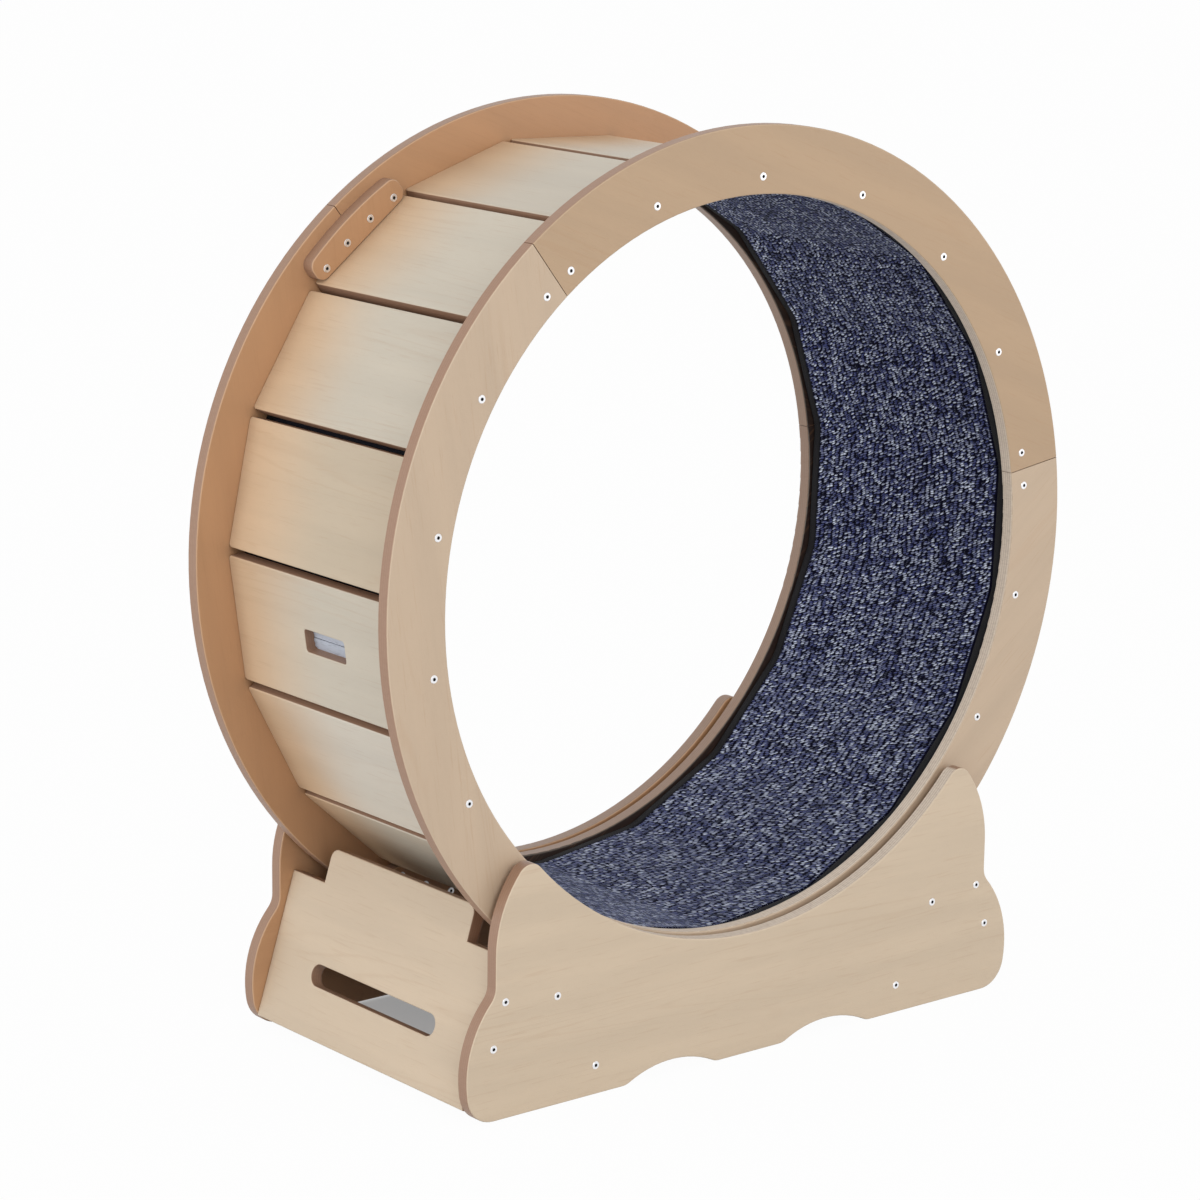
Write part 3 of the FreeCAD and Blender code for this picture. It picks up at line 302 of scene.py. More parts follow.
def make_board_grain():
    """Grain that runs along X: slow tone, growth lines in patches, sparse strokes and short pores."""
    tree, given, result = new_group(
        "board_grain",
        [("Vector", "NodeSocketVector", None), ("Seed", "NodeSocketFloat", 0.0)],
        [(name, "NodeSocketFloat") for name in ("Tone", "Lines", "Strokes", "Pores")])
    shift = combine(tree, *(maths(tree, "MULTIPLY", given["Seed"], part) for part in (3.71, 1.37, 0.73)))
    moved = add_node(tree, "ShaderNodeVectorMath", {0: given["Vector"], 1: shift}, operation="ADD")
    place = moved.outputs[0]
    tone = noise(tree, stretch(tree, place, (2.4, 26.0, 26.0)), detail=4.0, roughness=0.55)
    own = add_node(tree, "ShaderNodeTexWhiteNoise", {"W": given["Seed"]}, noise_dimensions="1D")
    own_tone = maths(tree, "MULTIPLY", maths(tree, "SUBTRACT", own.outputs["Value"], 0.5), 0.16)
    field = noise(tree, stretch(tree, place, (0.9, 16.0, 16.0)), detail=1.0, roughness=0.3)
    turns = maths(tree, "FRACT", maths(tree, "MULTIPLY", field, 15.0))
    ridge = maths(tree, "ABSOLUTE", maths(tree, "SUBTRACT", turns, 0.5))
    line = ramp(tree, ridge, 0.16, 0.0)
    patch = ramp(tree, noise(tree, stretch(tree, place, (2.0, 11.0, 11.0)), detail=1.0), 0.50, 0.66)
    strokes = ramp(tree, noise(tree, stretch(tree, place, (18.0, 420.0, 420.0)), detail=1.5), 0.60, 0.72)
    pores = ramp(tree, noise(tree, stretch(tree, place, (60.0, 1100.0, 1100.0)), detail=2.0), 0.58, 0.72)
    tree.links.new(maths(tree, "ADD", tone, own_tone), result["Tone"])
    tree.links.new(maths(tree, "MULTIPLY", line, patch), result["Lines"])
    tree.links.new(strokes, result["Strokes"])
    tree.links.new(pores, result["Pores"])


def make_ply_edge():
    """Plies in a sawn edge: which ply, and the fibres that the saw left."""
    tree, given, result = new_group(
        "ply_edge",
        [("Depth", "NodeSocketFloat", 0.0), ("Vector", "NodeSocketVector", None)],
        [("Ply", "NodeSocketFloat"), ("Fibre", "NodeSocketFloat")])
    wander = noise(tree, stretch(tree, given["Vector"], (9.0, 9.0, 9.0)), detail=2.0)
    turn = maths(tree, "MULTIPLY", given["Depth"], 2 * math.pi / PLY_PITCH)
    wave = maths(tree, "SINE", maths(tree, "ADD", turn, wander))
    fibre = noise(tree, stretch(tree, given["Vector"], (160.0, 700.0, 160.0)), detail=3.0)
    tree.links.new(ramp(tree, wave, -0.6, 0.8), result["Ply"])
    tree.links.new(fibre, result["Fibre"])


def make_tuft_pile():
    """Tufts of a carpet that lie across it: each one's shade and its raised middle."""
    tree, given, result = new_group(
        "tuft_pile",
        [("Along", "NodeSocketFloat", 0.0), ("Across", "NodeSocketFloat", 0.0),
         ("Length", "NodeSocketFloat", 0.01), ("Width", "NodeSocketFloat", 0.003),
         ("Slant", "NodeSocketFloat", 0.0)],
        [("Shade", "NodeSocketFloat"), ("Height", "NodeSocketFloat"), ("Patch", "NodeSocketFloat")])
    skew = maths(tree, "MULTIPLY", given["Across"], given["Slant"])
    along = maths(tree, "DIVIDE", maths(tree, "ADD", given["Along"], skew), given["Width"])
    across = maths(tree, "DIVIDE", given["Across"], given["Length"])
    flat = combine(tree, along, across, 0.0)
    sway = noise(tree, stretch(tree, flat, (0.11, 0.30, 1.0)), detail=2.0)
    moved = combine(tree, maths(tree, "ADD", along, maths(tree, "MULTIPLY", sway, 3.0)), across, 0.0)
    cells = add_node(tree, "ShaderNodeTexVoronoi", {"Vector": moved, "Scale": 1.0, "Randomness": 0.6},
                     voronoi_dimensions="2D", feature="F1")
    shade = split(tree, cells.outputs["Color"])[0]
    height = ramp(tree, cells.outputs["Distance"], 0.52, 0.24)
    clumps = noise(tree, stretch(tree, flat, (0.11, 0.36, 1.0)), detail=2.0)
    streaks = noise(tree, stretch(tree, flat, (0.018, 0.42, 1.0)), detail=2.0)
    patch = maths(tree, "MULTIPLY", maths(tree, "ADD", clumps, streaks), 0.5)
    tree.links.new(shade, result["Shade"])
    tree.links.new(height, result["Height"])
    tree.links.new(patch, result["Patch"])


# ---------------------------------------------------------------- materials

def new_material(name):
    material = bpy.data.materials.new(name)
    material.use_nodes = True
    tree = material.node_tree
    return material, tree, tree.nodes["Principled BSDF"]


def place_of(tree):
    """Object coordinates and the normal in the piece's own frame."""
    outputs = add_node(tree, "ShaderNodeTexCoord").outputs
    return outputs["Object"], outputs["Normal"]


def bump(tree, shader, height, distance, strength=1.0):
    inputs = {"Height": height, "Distance": distance, "Strength": strength}
    item = add_node(tree, "ShaderNodeBump", inputs)
    tree.links.new(item.outputs["Normal"], shader.inputs["Normal"])


def facing_share(tree, normal, direction):
    """How squarely the surface faces a direction or its opposite, 0 to 1."""
    item = add_node(tree, "ShaderNodeVectorMath", {0: normal, 1: direction}, operation="DOT_PRODUCT")
    return maths(tree, "ABSOLUTE", item.outputs["Value"])


def board_finish(tree, shader, colours, face_colour, grain_vector, depth, facing, seed, edge_colour=None):
    """Lacquered board: grain on its faces, plies in its edges, and a painted highlight where they meet."""
    grain = use_group(tree, "board_grain", {"Vector": grain_vector, "Seed": seed})
    edge = use_group(tree, "ply_edge", {"Depth": depth, "Vector": grain_vector})
    tone = maths(tree, "ADD", maths(tree, "MULTIPLY", ramp(tree, grain["Tone"], 0.3, 0.7), 0.08), 0.96)
    face = mix_colour(tree, 1.0, face_colour, tone, "MULTIPLY")
    for mark, strength in (("Lines", 0.10), ("Strokes", 0.13), ("Pores", 0.06)):
        face = mix_colour(tree, maths(tree, "MULTIPLY", grain[mark], strength), face, colours.grain_line)
    plain_edge = colours.board_edge if edge_colour is None else edge_colour
    sawn = mix_colour(tree, maths(tree, "MULTIPLY", edge["Ply"], 0.26), plain_edge, colours.ply_line)
    sawn = mix_colour(tree, maths(tree, "MULTIPLY", ramp(tree, edge["Fibre"], 0.4, 0.75), 0.2), sawn,
                      colours.ply_line)
    # painted highlight on the arris between a face and an edge
    on_arris = maths(tree, "MULTIPLY", ramp(tree, facing, 0.45, 0.75), ramp(tree, facing, 0.99, 0.88))
    board = mix_colour(tree, ramp(tree, facing, 0.35, 0.6), sawn, face)
    board = mix_colour(tree, maths(tree, "MULTIPLY", on_arris, 0.12), board, colours.arris_highlight)
    tree.links.new(board, shader.inputs["Base Color"])
    rough = maths(tree, "MULTIPLY", ramp(tree, grain["Tone"], 0.2, 0.8, smooth=False), 0.1)
    tree.links.new(maths(tree, "ADD", rough, 0.42), shader.inputs["Roughness"])
    shader.inputs["Coat Weight"].default_value = 0.08
    shader.inputs["Coat Roughness"].default_value = 0.3
    relief = maths(tree, "ADD", maths(tree, "MULTIPLY", grain["Lines"], -0.4),
                   maths(tree, "MULTIPLY", grain["Pores"], -0.6))
    bump(tree, shader, relief, 0.00012)


def rim_colour(tree, place, radius, reach, colours):
    """Colour of a board's edges: painted light in the round cut of this radius, and painted shade in that
    cut on the far side.
    """
    far = ramp(tree, split(tree, place)[1], -0.02, 0.02)
    rim = mix_colour(tree, far, colours.near_rim_painted_light, colours.far_rim_painted_shade)
    return mix_colour(tree, ramp(tree, radius, reach + 0.003, reach), colours.board_edge, rim)


def inward_share(tree, place, normal):
    """1 where the surface looks across the wheel, towards its middle plane."""
    outward = maths(tree, "MULTIPLY", maths(tree, "SIGN", split(tree, place)[1]), split(tree, normal)[1])
    return ramp(tree, outward, -0.3, -0.7)


def ring_board_material(colours, face_colour, segment_angle, seed):
    """Board of one ring segment. Its grain runs along the segment's chord."""
    material, tree, shader = new_material(f"ring_board_{seed}")
    place, normal = place_of(tree)
    along_chord = {"Vector": place, "Rotation": (0.0, segment_angle + math.pi / 2, 0.0)}
    turned = add_node(tree, "ShaderNodeMapping", along_chord, vector_type="POINT")
    x, y, z = split(tree, turned.outputs[0])
    facing = facing_share(tree, normal, (0.0, 1.0, 0.0))
    radius = use_group(tree, "drum_wrap", {"Vector": place, "Normal": normal})["Radius"]
    inward = inward_share(tree, place, normal)
    # painted shade and warm bounce light on the faces that look into the wheel
    face = mix_colour(tree, inward, face_colour, colours.inner_painted_shade)
    shade_end, shade_start = BINDING_SHADE
    # painted shadow on the ring's inner face beside the carpet
    beside_carpet = maths(tree, "MULTIPLY", inward, ramp(tree, radius, shade_start, shade_end))
    face = mix_colour(tree, beside_carpet, face, colours.rim_painted_shadow)
    edge = rim_colour(tree, place, radius, RING_CUT, colours)
    board_finish(tree, shader, colours, face, combine(tree, x, z, y), y, facing, float(seed), edge)
    return material


def slat_board_material(colours, name, face_colour):
    """Board of the slats. Each slat has its own grain and a slightly different tone."""
    material, tree, shader = new_material(name)
    place, normal = place_of(tree)
    drum = use_group(tree, "drum_wrap", {"Vector": place, "Normal": normal})
    facing = maths(tree, "ABSOLUTE", drum["Facing"])
    wander = noise(tree, stretch(tree, place, (6.0, 6.0, 6.0)))
    # painted shade and warm bounce light, growing towards the far ring
    towards_far = maths(tree, "ADD", drum["Across"], maths(tree, "MULTIPLY", wander, 0.06))
    face = mix_colour(tree, ramp(tree, towards_far, 0.02, 0.20), face_colour, colours.slat_far_painted_bounce)
    grain_vector = combine(tree, drum["Across"], drum["Offset"], drum["Radius"])
    board_finish(tree, shader, colours, face, grain_vector, drum["Radius"], facing, drum["Slat"])
    return material


def base_board_material(colours, name, direction, grain_axis, seed):
    """Board of a side panel, end panel or stretcher, which faces a direction."""
    material, tree, shader = new_material(name)
    place, normal = place_of(tree)
    x, y, z = split(tree, place)
    facing = facing_share(tree, normal, direction)
    through = add_node(tree, "ShaderNodeVectorMath", {0: place, 1: direction}, operation="DOT_PRODUCT")
    depth = through.outputs["Value"]
    vector = combine(tree, y, z, depth) if grain_axis == "Y" else combine(tree, x, z, depth)
    face, edge = colours.base_face, None
    if "side" in name:
        # painted shade and warm bounce light on the panel's face that looks into the wheel
        face = mix_colour(tree, inward_share(tree, place, normal), face, colours.inner_painted_shade)
        radius = use_group(tree, "drum_wrap", {"Vector": place, "Normal": normal})["Radius"]
        edge = rim_colour(tree, place, radius, PANEL_CUT, colours)
    board_finish(tree, shader, colours, face, vector, depth, facing, float(seed), edge)
    return material


def pile_material(colours, carpet):
    """Flecked carpet pile."""
    material, tree, shader = new_material("carpet_pile")
    place, normal = place_of(tree)
    drum = use_group(tree, "drum_wrap", {"Vector": place, "Normal": normal})
    tufts = use_group(tree, "tuft_pile", {
        "Along": drum["Along"], "Across": drum["Across"], "Length": carpet.tuft_length,
        "Width": carpet.tuft_width, "Slant": carpet.tuft_slant})
    uneven = maths(tree, "MULTIPLY", maths(tree, "SUBTRACT", tufts["Patch"], 0.5), 1.5)
    lively = maths(tree, "ADD", tufts["Shade"], uneven)
    yarn = mix_colour(tree, ramp(tree, lively, 0.0, 0.22), colours.pile_dark, colours.pile_mid)
    light = maths(tree, "POWER", ramp(tree, lively, 0.15, 1.05, smooth=False), 2.0)
    yarn = mix_colour(tree, light, yarn, colours.pile_light)
    # painted shade in the gaps between the tufts, in the dark yarn's colour
    pile = mix_colour(tree, tufts["Height"], colours.pile_dark, yarn)
    edge = carpet.pile_width / 2 - 0.002
    side = ramp(tree, maths(tree, "ABSOLUTE", drum["Across"]), edge - 0.001, edge + 0.0005)
    pile = mix_colour(tree, side, pile, colours.pile_dark)
    tree.links.new(pile, shader.inputs["Base Color"])
    shader.inputs["Roughness"].default_value = 0.9
    shader.inputs["Specular IOR Level"].default_value = 0.08
    shader.inputs["Sheen Weight"].default_value = 0.38
    shader.inputs["Sheen Roughness"].default_value = 0.26
    shader.inputs["Sheen Tint"].default_value = (0.66, 0.74, 1.0, 1.0)
    bump(tree, shader, tufts["Height"], 0.0012)
    return material


def binding_material(colours):
    """Woven tape with fine ribs across it."""
    material, tree, shader = new_material("carpet_binding")
    place, normal = place_of(tree)
    drum = use_group(tree, "drum_wrap", {"Vector": place, "Normal": normal})
    rib_pitch, thread_pitch = 0.0016, 0.0012
    rib = maths(tree, "SINE", maths(tree, "MULTIPLY", drum["Along"], 2 * math.pi / rib_pitch))
    thread = maths(tree, "SINE", maths(tree, "MULTIPLY", drum["Across"], 2 * math.pi / thread_pitch))
    weave = maths(tree, "MULTIPLY", rib, thread)
    light = tuple(min(1.0, c * 2.2 + 0.004) for c in colours.binding)
    colour = mix_colour(tree, ramp(tree, weave, -0.4, 1.0), colours.binding, light)
    tree.links.new(colour, shader.inputs["Base Color"])
    shader.inputs["Roughness"].default_value = 0.85
    shader.inputs["Specular IOR Level"].default_value = 0.3
    shader.inputs["Sheen Weight"].default_value = 0.05
    bump(tree, shader, weave, 0.0002)
    return material


def backing_material(colours):
    """Pale woven back of the carpet."""
    material, tree, shader = new_material("carpet_backing")
    place, normal = place_of(tree)
    drum = use_group(tree, "drum_wrap", {"Vector": place, "Normal": normal})
    # painted shade in the valleys between the ribs; the same grey also marks the threads
    valley = ramp(tree, drum["Radius"], 0.4590, 0.4598)
    grey = tuple(c * 0.45 for c in colours.backing)
    threads = noise(tree, stretch(tree, place, (500.0, 90.0, 500.0)), detail=2.0)
    colour = mix_colour(tree, valley, grey, colours.backing)
    colour = mix_colour(tree, maths(tree, "MULTIPLY", ramp(tree, threads, 0.45, 0.7), 0.35), colour, grey)
    # painted shade on the backing under the gaps between the slats
    gap_painted_shade = ramp(tree, maths(tree, "ABSOLUTE", drum["Offset"]), 0.055, 0.070)
    colour = mix_colour(tree, gap_painted_shade, colour, colours.pile_dark)
    tree.links.new(colour, shader.inputs["Base Color"])
    shader.inputs["Roughness"].default_value = 0.85
    bump(tree, shader, threads, 0.0003)
    return material


def metal_material(name, colour, roughness, streaks, brushed=(1.0, 1.0, 1.0)):
    """Metal with fine marks that break up its shine."""
    material, tree, shader = new_material(name)
    place = place_of(tree)[0]
    marks = noise(tree, stretch(tree, place, tuple(700.0 * share for share in brushed)), detail=3.0)
    dull = tuple(c * 0.8 for c in colour)
    tree.links.new(mix_colour(tree, ramp(tree, marks, 0.4, 0.7), colour, dull), shader.inputs["Base Color"])
    spread = maths(tree, "MULTIPLY", ramp(tree, marks, 0.3, 0.7, smooth=False), streaks)
    tree.links.new(maths(tree, "ADD", spread, roughness), shader.inputs["Roughness"])
    shader.inputs["Metallic"].default_value = 1.0
    bump(tree, shader, marks, 0.00003)
    return material


def screw_material(colours, name, face, inwards):
    """Bright screw with painted shade in its socket. Face is how far the head's face is from the middle
    plane, and inwards is the way that its socket goes from there, 1 or -1."""
    material = metal_material(name, colours.bright_steel, 0.30, 0.15)
    tree = material.node_tree
    shader = tree.nodes["Principled BSDF"]
    distance = maths(tree, "ABSOLUTE", split(tree, place_of(tree)[0])[1])
    socket_start, socket_full = 0.0007, 0.0010
    in_socket = ramp(tree, distance, face + inwards * socket_start, face + inwards * socket_full)
    steel = shader.inputs["Base Color"].links[0].from_socket
    # painted shade in the socket: dark and not metal
    tree.links.new(mix_colour(tree, in_socket, steel, colours.socket), shader.inputs["Base Color"])
    tree.links.new(maths(tree, "SUBTRACT", 1.0, in_socket), shader.inputs["Metallic"])
    return material


def moulded_material(name, colour, roughness, grain_size, relief):
    """Moulded plastic or rubber with a fine skin."""
    material, tree, shader = new_material(name)
    place = place_of(tree)[0]
    skin = noise(tree, stretch(tree, place, (1 / grain_size,) * 3), detail=3.0)
    broad = noise(tree, stretch(tree, place, (60.0, 60.0, 60.0)), detail=2.0)
    lighter = tuple(min(1.0, c * 1.5 + 0.004) for c in colour)
    mottled = mix_colour(tree, ramp(tree, broad, 0.35, 0.7), colour, lighter)
    tree.links.new(mottled, shader.inputs["Base Color"])
    spread = maths(tree, "MULTIPLY", skin, 0.15)
    tree.links.new(maths(tree, "ADD", spread, roughness), shader.inputs["Roughness"])
    bump(tree, shader, skin, relief)
    return material


# ---------------------------------------------------------------- modelling helpers

def dress(names, material):
    """Give CAD nodes a material, through their material slots."""
    for name in names:
        slots = frame["nodes"][name].material_slots
        if not slots:
            raise RuntimeError(f"{name} has no material slot")
        for slot in slots:
            slot.material = material


def drum_loop(name, drum, radius, bend, step, across):
    """Edges round the drum at one place across it: flat on each slat, with a bend between two slats."""
    bpy.ops.object.select_all(action="DESELECT")
    half_step = math.pi / drum.slat_count
    bpy.ops.mesh.primitive_circle_add(
        vertices=drum.slat_count, radius=radius / math.cos(half_step), fill_type="NOTHING",
        location=(0.0, across, AXIS_HEIGHT), rotation=(math.pi / 2, -(drum.seam_angle + half_step), 0.0))
    piece = bpy.context.object
    piece.name = name
    piece.data.name = name
    bpy.ops.object.transform_apply(location=True, rotation=True, scale=True)
    bpy.ops.object.mode_set(mode="EDIT")
    bpy.ops.mesh.select_mode(type="EDGE")
    bpy.ops.mesh.select_all(action="SELECT")
    bpy.ops.mesh.bevel(offset=bend * math.tan(half_step), segments=6, affect="VERTICES",
                       offset_type="OFFSET")
    straight = 2 * (radius - bend) * math.tan(half_step)
    choose_edges(piece, lambda edge: edge.calc_length() > straight / 2)
    bpy.ops.mesh.subdivide(number_cuts=max(1, round(straight / step) - 1))
    bpy.ops.mesh.select_all(action="SELECT")
    return piece


def choose_edges(piece, wanted):
    """Select the edges that the test picks out, and nothing else."""
    mesh = bmesh.from_edit_mesh(piece.data)
    for edge in mesh.edges:
        edge.select_set(False)
    for edge in mesh.edges:
        if wanted(edge):
            edge.select_set(True)
    bmesh.update_edit_mesh(piece.data)


def sweep(profile):
    """Extrude the selected loop through the profile's points, each a place across the drum and a radius."""
    across, radius = profile[0]
    for next_across, next_radius in profile[1:]:
        move = {"value": (0.0, next_across - across, 0.0)}
        bpy.ops.mesh.extrude_region_move(TRANSFORM_OT_translate=move)
        ratio = next_radius / radius
        bpy.ops.transform.resize(value=(ratio, 1.0, ratio), center_override=DRUM_AXIS)
        across, radius = next_across, next_radius


def close_band(profile):
    """Sweep round a closed profile and join its end to its start."""
    sweep(profile + profile[:1])
    bpy.ops.mesh.select_all(action="SELECT")
    bpy.ops.mesh.remove_doubles(threshold=0.00002)
    bpy.ops.mesh.normals_make_consistent(inside=False)


def cut_butt_joint(piece, drum, gap):
    """Cut the band where its two ends meet, in the middle of the slotted slat, and cap both ends."""
    angle = drum.seam_angle + math.pi
    outward = Vector((math.cos(angle), 0.0, math.sin(angle)))
    round_drum = Vector((-outward.z, 0.0, outward.x))
    centre = Vector(DRUM_AXIS)
    reach = 0.012

    def beside(point):
        return (point - centre).dot(outward) > 0 and abs((point - centre).dot(round_drum)) < reach

    for side in (-1, 1):
        mesh = bmesh.from_edit_mesh(piece.data)
        for face in mesh.faces:
            face.select_set(beside(face.calc_center_median()))
        bmesh.update_edit_mesh(piece.data)
        bpy.ops.mesh.bisect(plane_co=centre + round_drum * side * gap / 2, plane_no=round_drum)
    bpy.ops.mesh.select_mode(type="FACE")
    mesh = bmesh.from_edit_mesh(piece.data)
    for face in mesh.faces:
        middle = face.calc_center_median()
        face.select_set(beside(middle) and abs((middle - centre).dot(round_drum)) < gap / 2)
    bmesh.update_edit_mesh(piece.data)
    bpy.ops.mesh.delete(type="FACE")
    bpy.ops.mesh.select_mode(type="EDGE")
    bpy.ops.mesh.select_all(action="DESELECT")
    bpy.ops.mesh.select_non_manifold()
    bpy.ops.mesh.fill_holes(sides=0)
    bpy.ops.mesh.select_all(action="SELECT")
    bpy.ops.mesh.normals_make_consistent(inside=False)


def finish_piece(piece, material, body, smooth_angle=40):
    """Leave edit mode, shade the piece, and hand it to the frame."""
    bpy.ops.object.mode_set(mode="OBJECT")
    bpy.ops.object.shade_smooth_by_angle(angle=math.radians(smooth_angle))
    piece.data.materials.clear()
    piece.data.materials.append(material)
    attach(piece, body)


# ---------------------------------------------------------------- operators

class WHEEL_OT_effects(bpy.types.Operator):
    """Make the node groups that the finishes share"""
    bl_idname = "wheel.effects"
    bl_label = "Shared effects"

    def execute(self, context):
        make_drum_wrap(context.scene.wheel_drum)
        make_board_grain()
        make_ply_edge()
        make_tuft_pile()
        return {"FINISHED"}


class WHEEL_OT_rings(bpy.types.Operator):
    """Finish the ring segments and their splice plates"""
    bl_idname = "wheel.rings"
    bl_label = "Rings"

    def execute(self, context):
        drum, colours = context.scene.wheel_drum, context.scene.wheel_colours
        for number in range(1, RING_SEGMENTS + 1):
            middle = drum.seam_angle + 2 * math.pi / RING_SEGMENTS * (number - 0.5)
            face_colour = colours.ring_warm if number == 1 else colours.ring_face
            material = ring_board_material(colours, face_colour, middle, number)
            dress([f"{side}_ring_segment_{number}" for side in ("near", "far")], material)
            dress([f"{side}_splice_plate_{number}" for side in ("near", "far")], material)
        return {"FINISHED"}


class WHEEL_OT_slats(bpy.types.Operator):
    """Finish the slats between the rings"""
    bl_idname = "wheel.slats"
    bl_label = "Slats"

    def execute(self, context):
        colours = context.scene.wheel_colours
        dress(SLATS, slat_board_material(colours, "slat_board", colours.slat_face))
        dress(["slat_09"], slat_board_material(colours, "sandy_slat_board", colours.sandy_slat))
        # painted light on slat_11
        dress(["slat_11"], slat_board_material(colours, "painted_light_slat_board", colours.painted_light_slat))
        return {"FINISHED"}


class WHEEL_OT_base(bpy.types.Operator):
    """Finish the side panels, end panels and stretchers"""
    bl_idname = "wheel.base"
    bl_label = "Base"

    def execute(self, context):
        colours, lean = context.scene.wheel_colours, context.scene.wheel_drum.end_lean
        cos, sin = math.cos(lean), math.sin(lean)
        boards = (
            ("near_side_panel", (0.0, 1.0, 0.0), "X", 11),
            ("far_side_panel", (0.0, 1.0, 0.0), "X", 17),
            ("left_end_panel", (cos, 0.0, -sin), "Y", 23),
            ("right_end_panel", (-cos, 0.0, -sin), "Y", 29),
            ("left_stretcher", (1.0, 0.0, 0.0), "Y", 31),
            ("right_stretcher", (1.0, 0.0, 0.0), "Y", 37),
        )
        for name, direction, grain_axis, seed in boards:
            dress([name], base_board_material(colours, name, direction, grain_axis, seed))
        return {"FINISHED"}


class WHEEL_OT_fasteners(bpy.types.Operator):
    """Finish the screws and bolts"""
    bl_idname = "wheel.fasteners"
    bl_label = "Fasteners"

    def execute(self, context):
        colours, sizes = context.scene.wheel_colours, context.scene.wheel_fasteners
        dress(["ring_screws"], screw_material(colours, "ring_screw_steel", sizes.ring_head, -1))
        dress(["splice_screws"], screw_material(colours, "splice_screw_steel", sizes.splice_head, 1))
        base = screw_material(colours, "base_screw_steel", sizes.base_head, -1)
        dress(["base_screws", "shaft_bolts"], base)
        return {"FINISHED"}


class WHEEL_OT_rollers(bpy.types.Operator):
    """Finish the rollers, their bearings and their shafts"""
    bl_idname = "wheel.rollers"
    bl_label = "Rollers"

    def execute(self, context):
        colours = context.scene.wheel_colours
        ground = metal_material("bearing_steel", colours.bright_steel, 0.12, 0.08)
        drawn = metal_material("shaft_steel", colours.drawn_steel, 0.28, 0.15, brushed=(1.0, 0.04, 1.0))
        sleeve = metal_material("sleeve_metal", colours.aluminium, 0.34, 0.12, brushed=(1.0, 0.06, 1.0))
        hub = moulded_material("hub_plastic", colours.hub, 0.42, 0.0007, 0.00004)
        tyre = moulded_material("tyre_rubber", colours.tyre, 0.66, 0.0011, 0.00010)
        rollers = [f"{end}_{side}_roller" for end in ("near", "far") for side in ("left", "right")]
        dress([f"{roller}_hub" for roller in rollers], hub)
        dress([f"{roller}_tyre" for roller in rollers], tyre)
        dress([f"{roller}_bearings" for roller in rollers] + ["bearing_inner_rings"], ground)
        dress(["left_roller_shaft", "right_roller_shaft"], drawn)
        dress(["roller_sleeves", "roller_distance_tubes"], sleeve)
        return {"FINISHED"}


class WHEEL_OT_carpet(bpy.types.Operator):
    """Model the carpet's pile and its ribbed backing"""
    bl_idname = "wheel.carpet"
    bl_label = "Carpet"

    def execute(self, context):
        drum, carpet = context.scene.wheel_drum, context.scene.wheel_carpet
        colours = context.scene.wheel_colours
        pile = self.pile(drum, carpet)
        finish_piece(pile, pile_material(colours, carpet), "wheel")
        self.roughen(pile, drum, carpet)
        backing = self.backing(drum, carpet)
        finish_piece(backing, backing_material(colours), "wheel", smooth_angle=60)
        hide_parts("carpet_runner")
        return {"FINISHED"}

    def pile(self, drum, carpet):
        """A band with a fine face, rounded where it meets the bindings."""
        half = carpet.pile_width / 2
        face = carpet.pile_face
        back = drum.slat_back - carpet.backing
        shoulder = 0.0015
        steps = round((carpet.pile_width - 2 * shoulder) / carpet.grid)
        inner = half - shoulder
        profile = [(-half, back), (-half, face + shoulder)]
        profile += [(-inner + 2 * inner * i / steps, face) for i in range(steps + 1)]
        profile += [(half, face + shoulder), (half, back)]
        piece = drum_loop("carpet_pile", drum, back, carpet.bend, carpet.grid, -half)
        close_band(profile)
        cut_butt_joint(piece, drum, carpet.butt_gap)
        return piece

    def roughen(self, piece, drum, carpet):
        """Raise and lower the pile's face a little, but neither its two edges nor its back."""
        face = piece.vertex_groups.new(name="pile_face")
        depth_margin, edge_margin = 0.0012, 0.001
        deepest = (carpet.pile_face + depth_margin) / math.cos(math.pi / drum.slat_count)
        widest = carpet.pile_width / 2 - edge_margin
        for vertex in piece.data.vertices:
            radius = math.hypot(vertex.co.x, vertex.co.z - AXIS_HEIGHT)
            if abs(vertex.co.y) < widest and radius < deepest:
                face.add([vertex.index], 1.0, "REPLACE")
        clouds = bpy.data.textures.new("pile_unevenness", type="CLOUDS")
        clouds.noise_scale = 0.018
        clouds.noise_depth = 2
        uneven = piece.modifiers.new("unevenness", "DISPLACE")
        uneven.texture = clouds
        uneven.texture_coords = "LOCAL"
        uneven.vertex_group = face.name
        uneven.mid_level = 0.6
        uneven.strength = carpet.unevenness
        bpy.ops.object.modifier_apply(modifier=uneven.name)

    def backing(self, drum, carpet):
        """A thin band whose outer face has ribs across the drum."""
        half = carpet.pile_width / 2
        inner = drum.slat_back - carpet.backing
        outer = drum.slat_back - LINING_GAP
        rib_depth = 0.0011
        piece = drum_loop("carpet_backing", drum, inner, carpet.bend, carpet.rib_pitch / 2, -half)
        close_band([(-half, inner), (half, inner), (half, outer), (-half, outer)])
        mesh = bmesh.from_edit_mesh(piece.data)
        turn = carpet.rib_pitch / drum.slat_back
        for vertex in mesh.verts:
            level, rise = vertex.co.x, vertex.co.z - AXIS_HEIGHT
            count = round(math.atan2(rise, level) / turn * 2)
            far_out = math.hypot(level, rise) > outer - 0.0002
            vertex.select_set(far_out and count % 2 == 0)
        bmesh.update_edit_mesh(piece.data)
        sink = 1 - rib_depth / drum.slat_back
        bpy.ops.transform.resize(value=(sink, 1.0, sink), center_override=DRUM_AXIS)
        cut_butt_joint(piece, drum, carpet.butt_gap)
        return piece


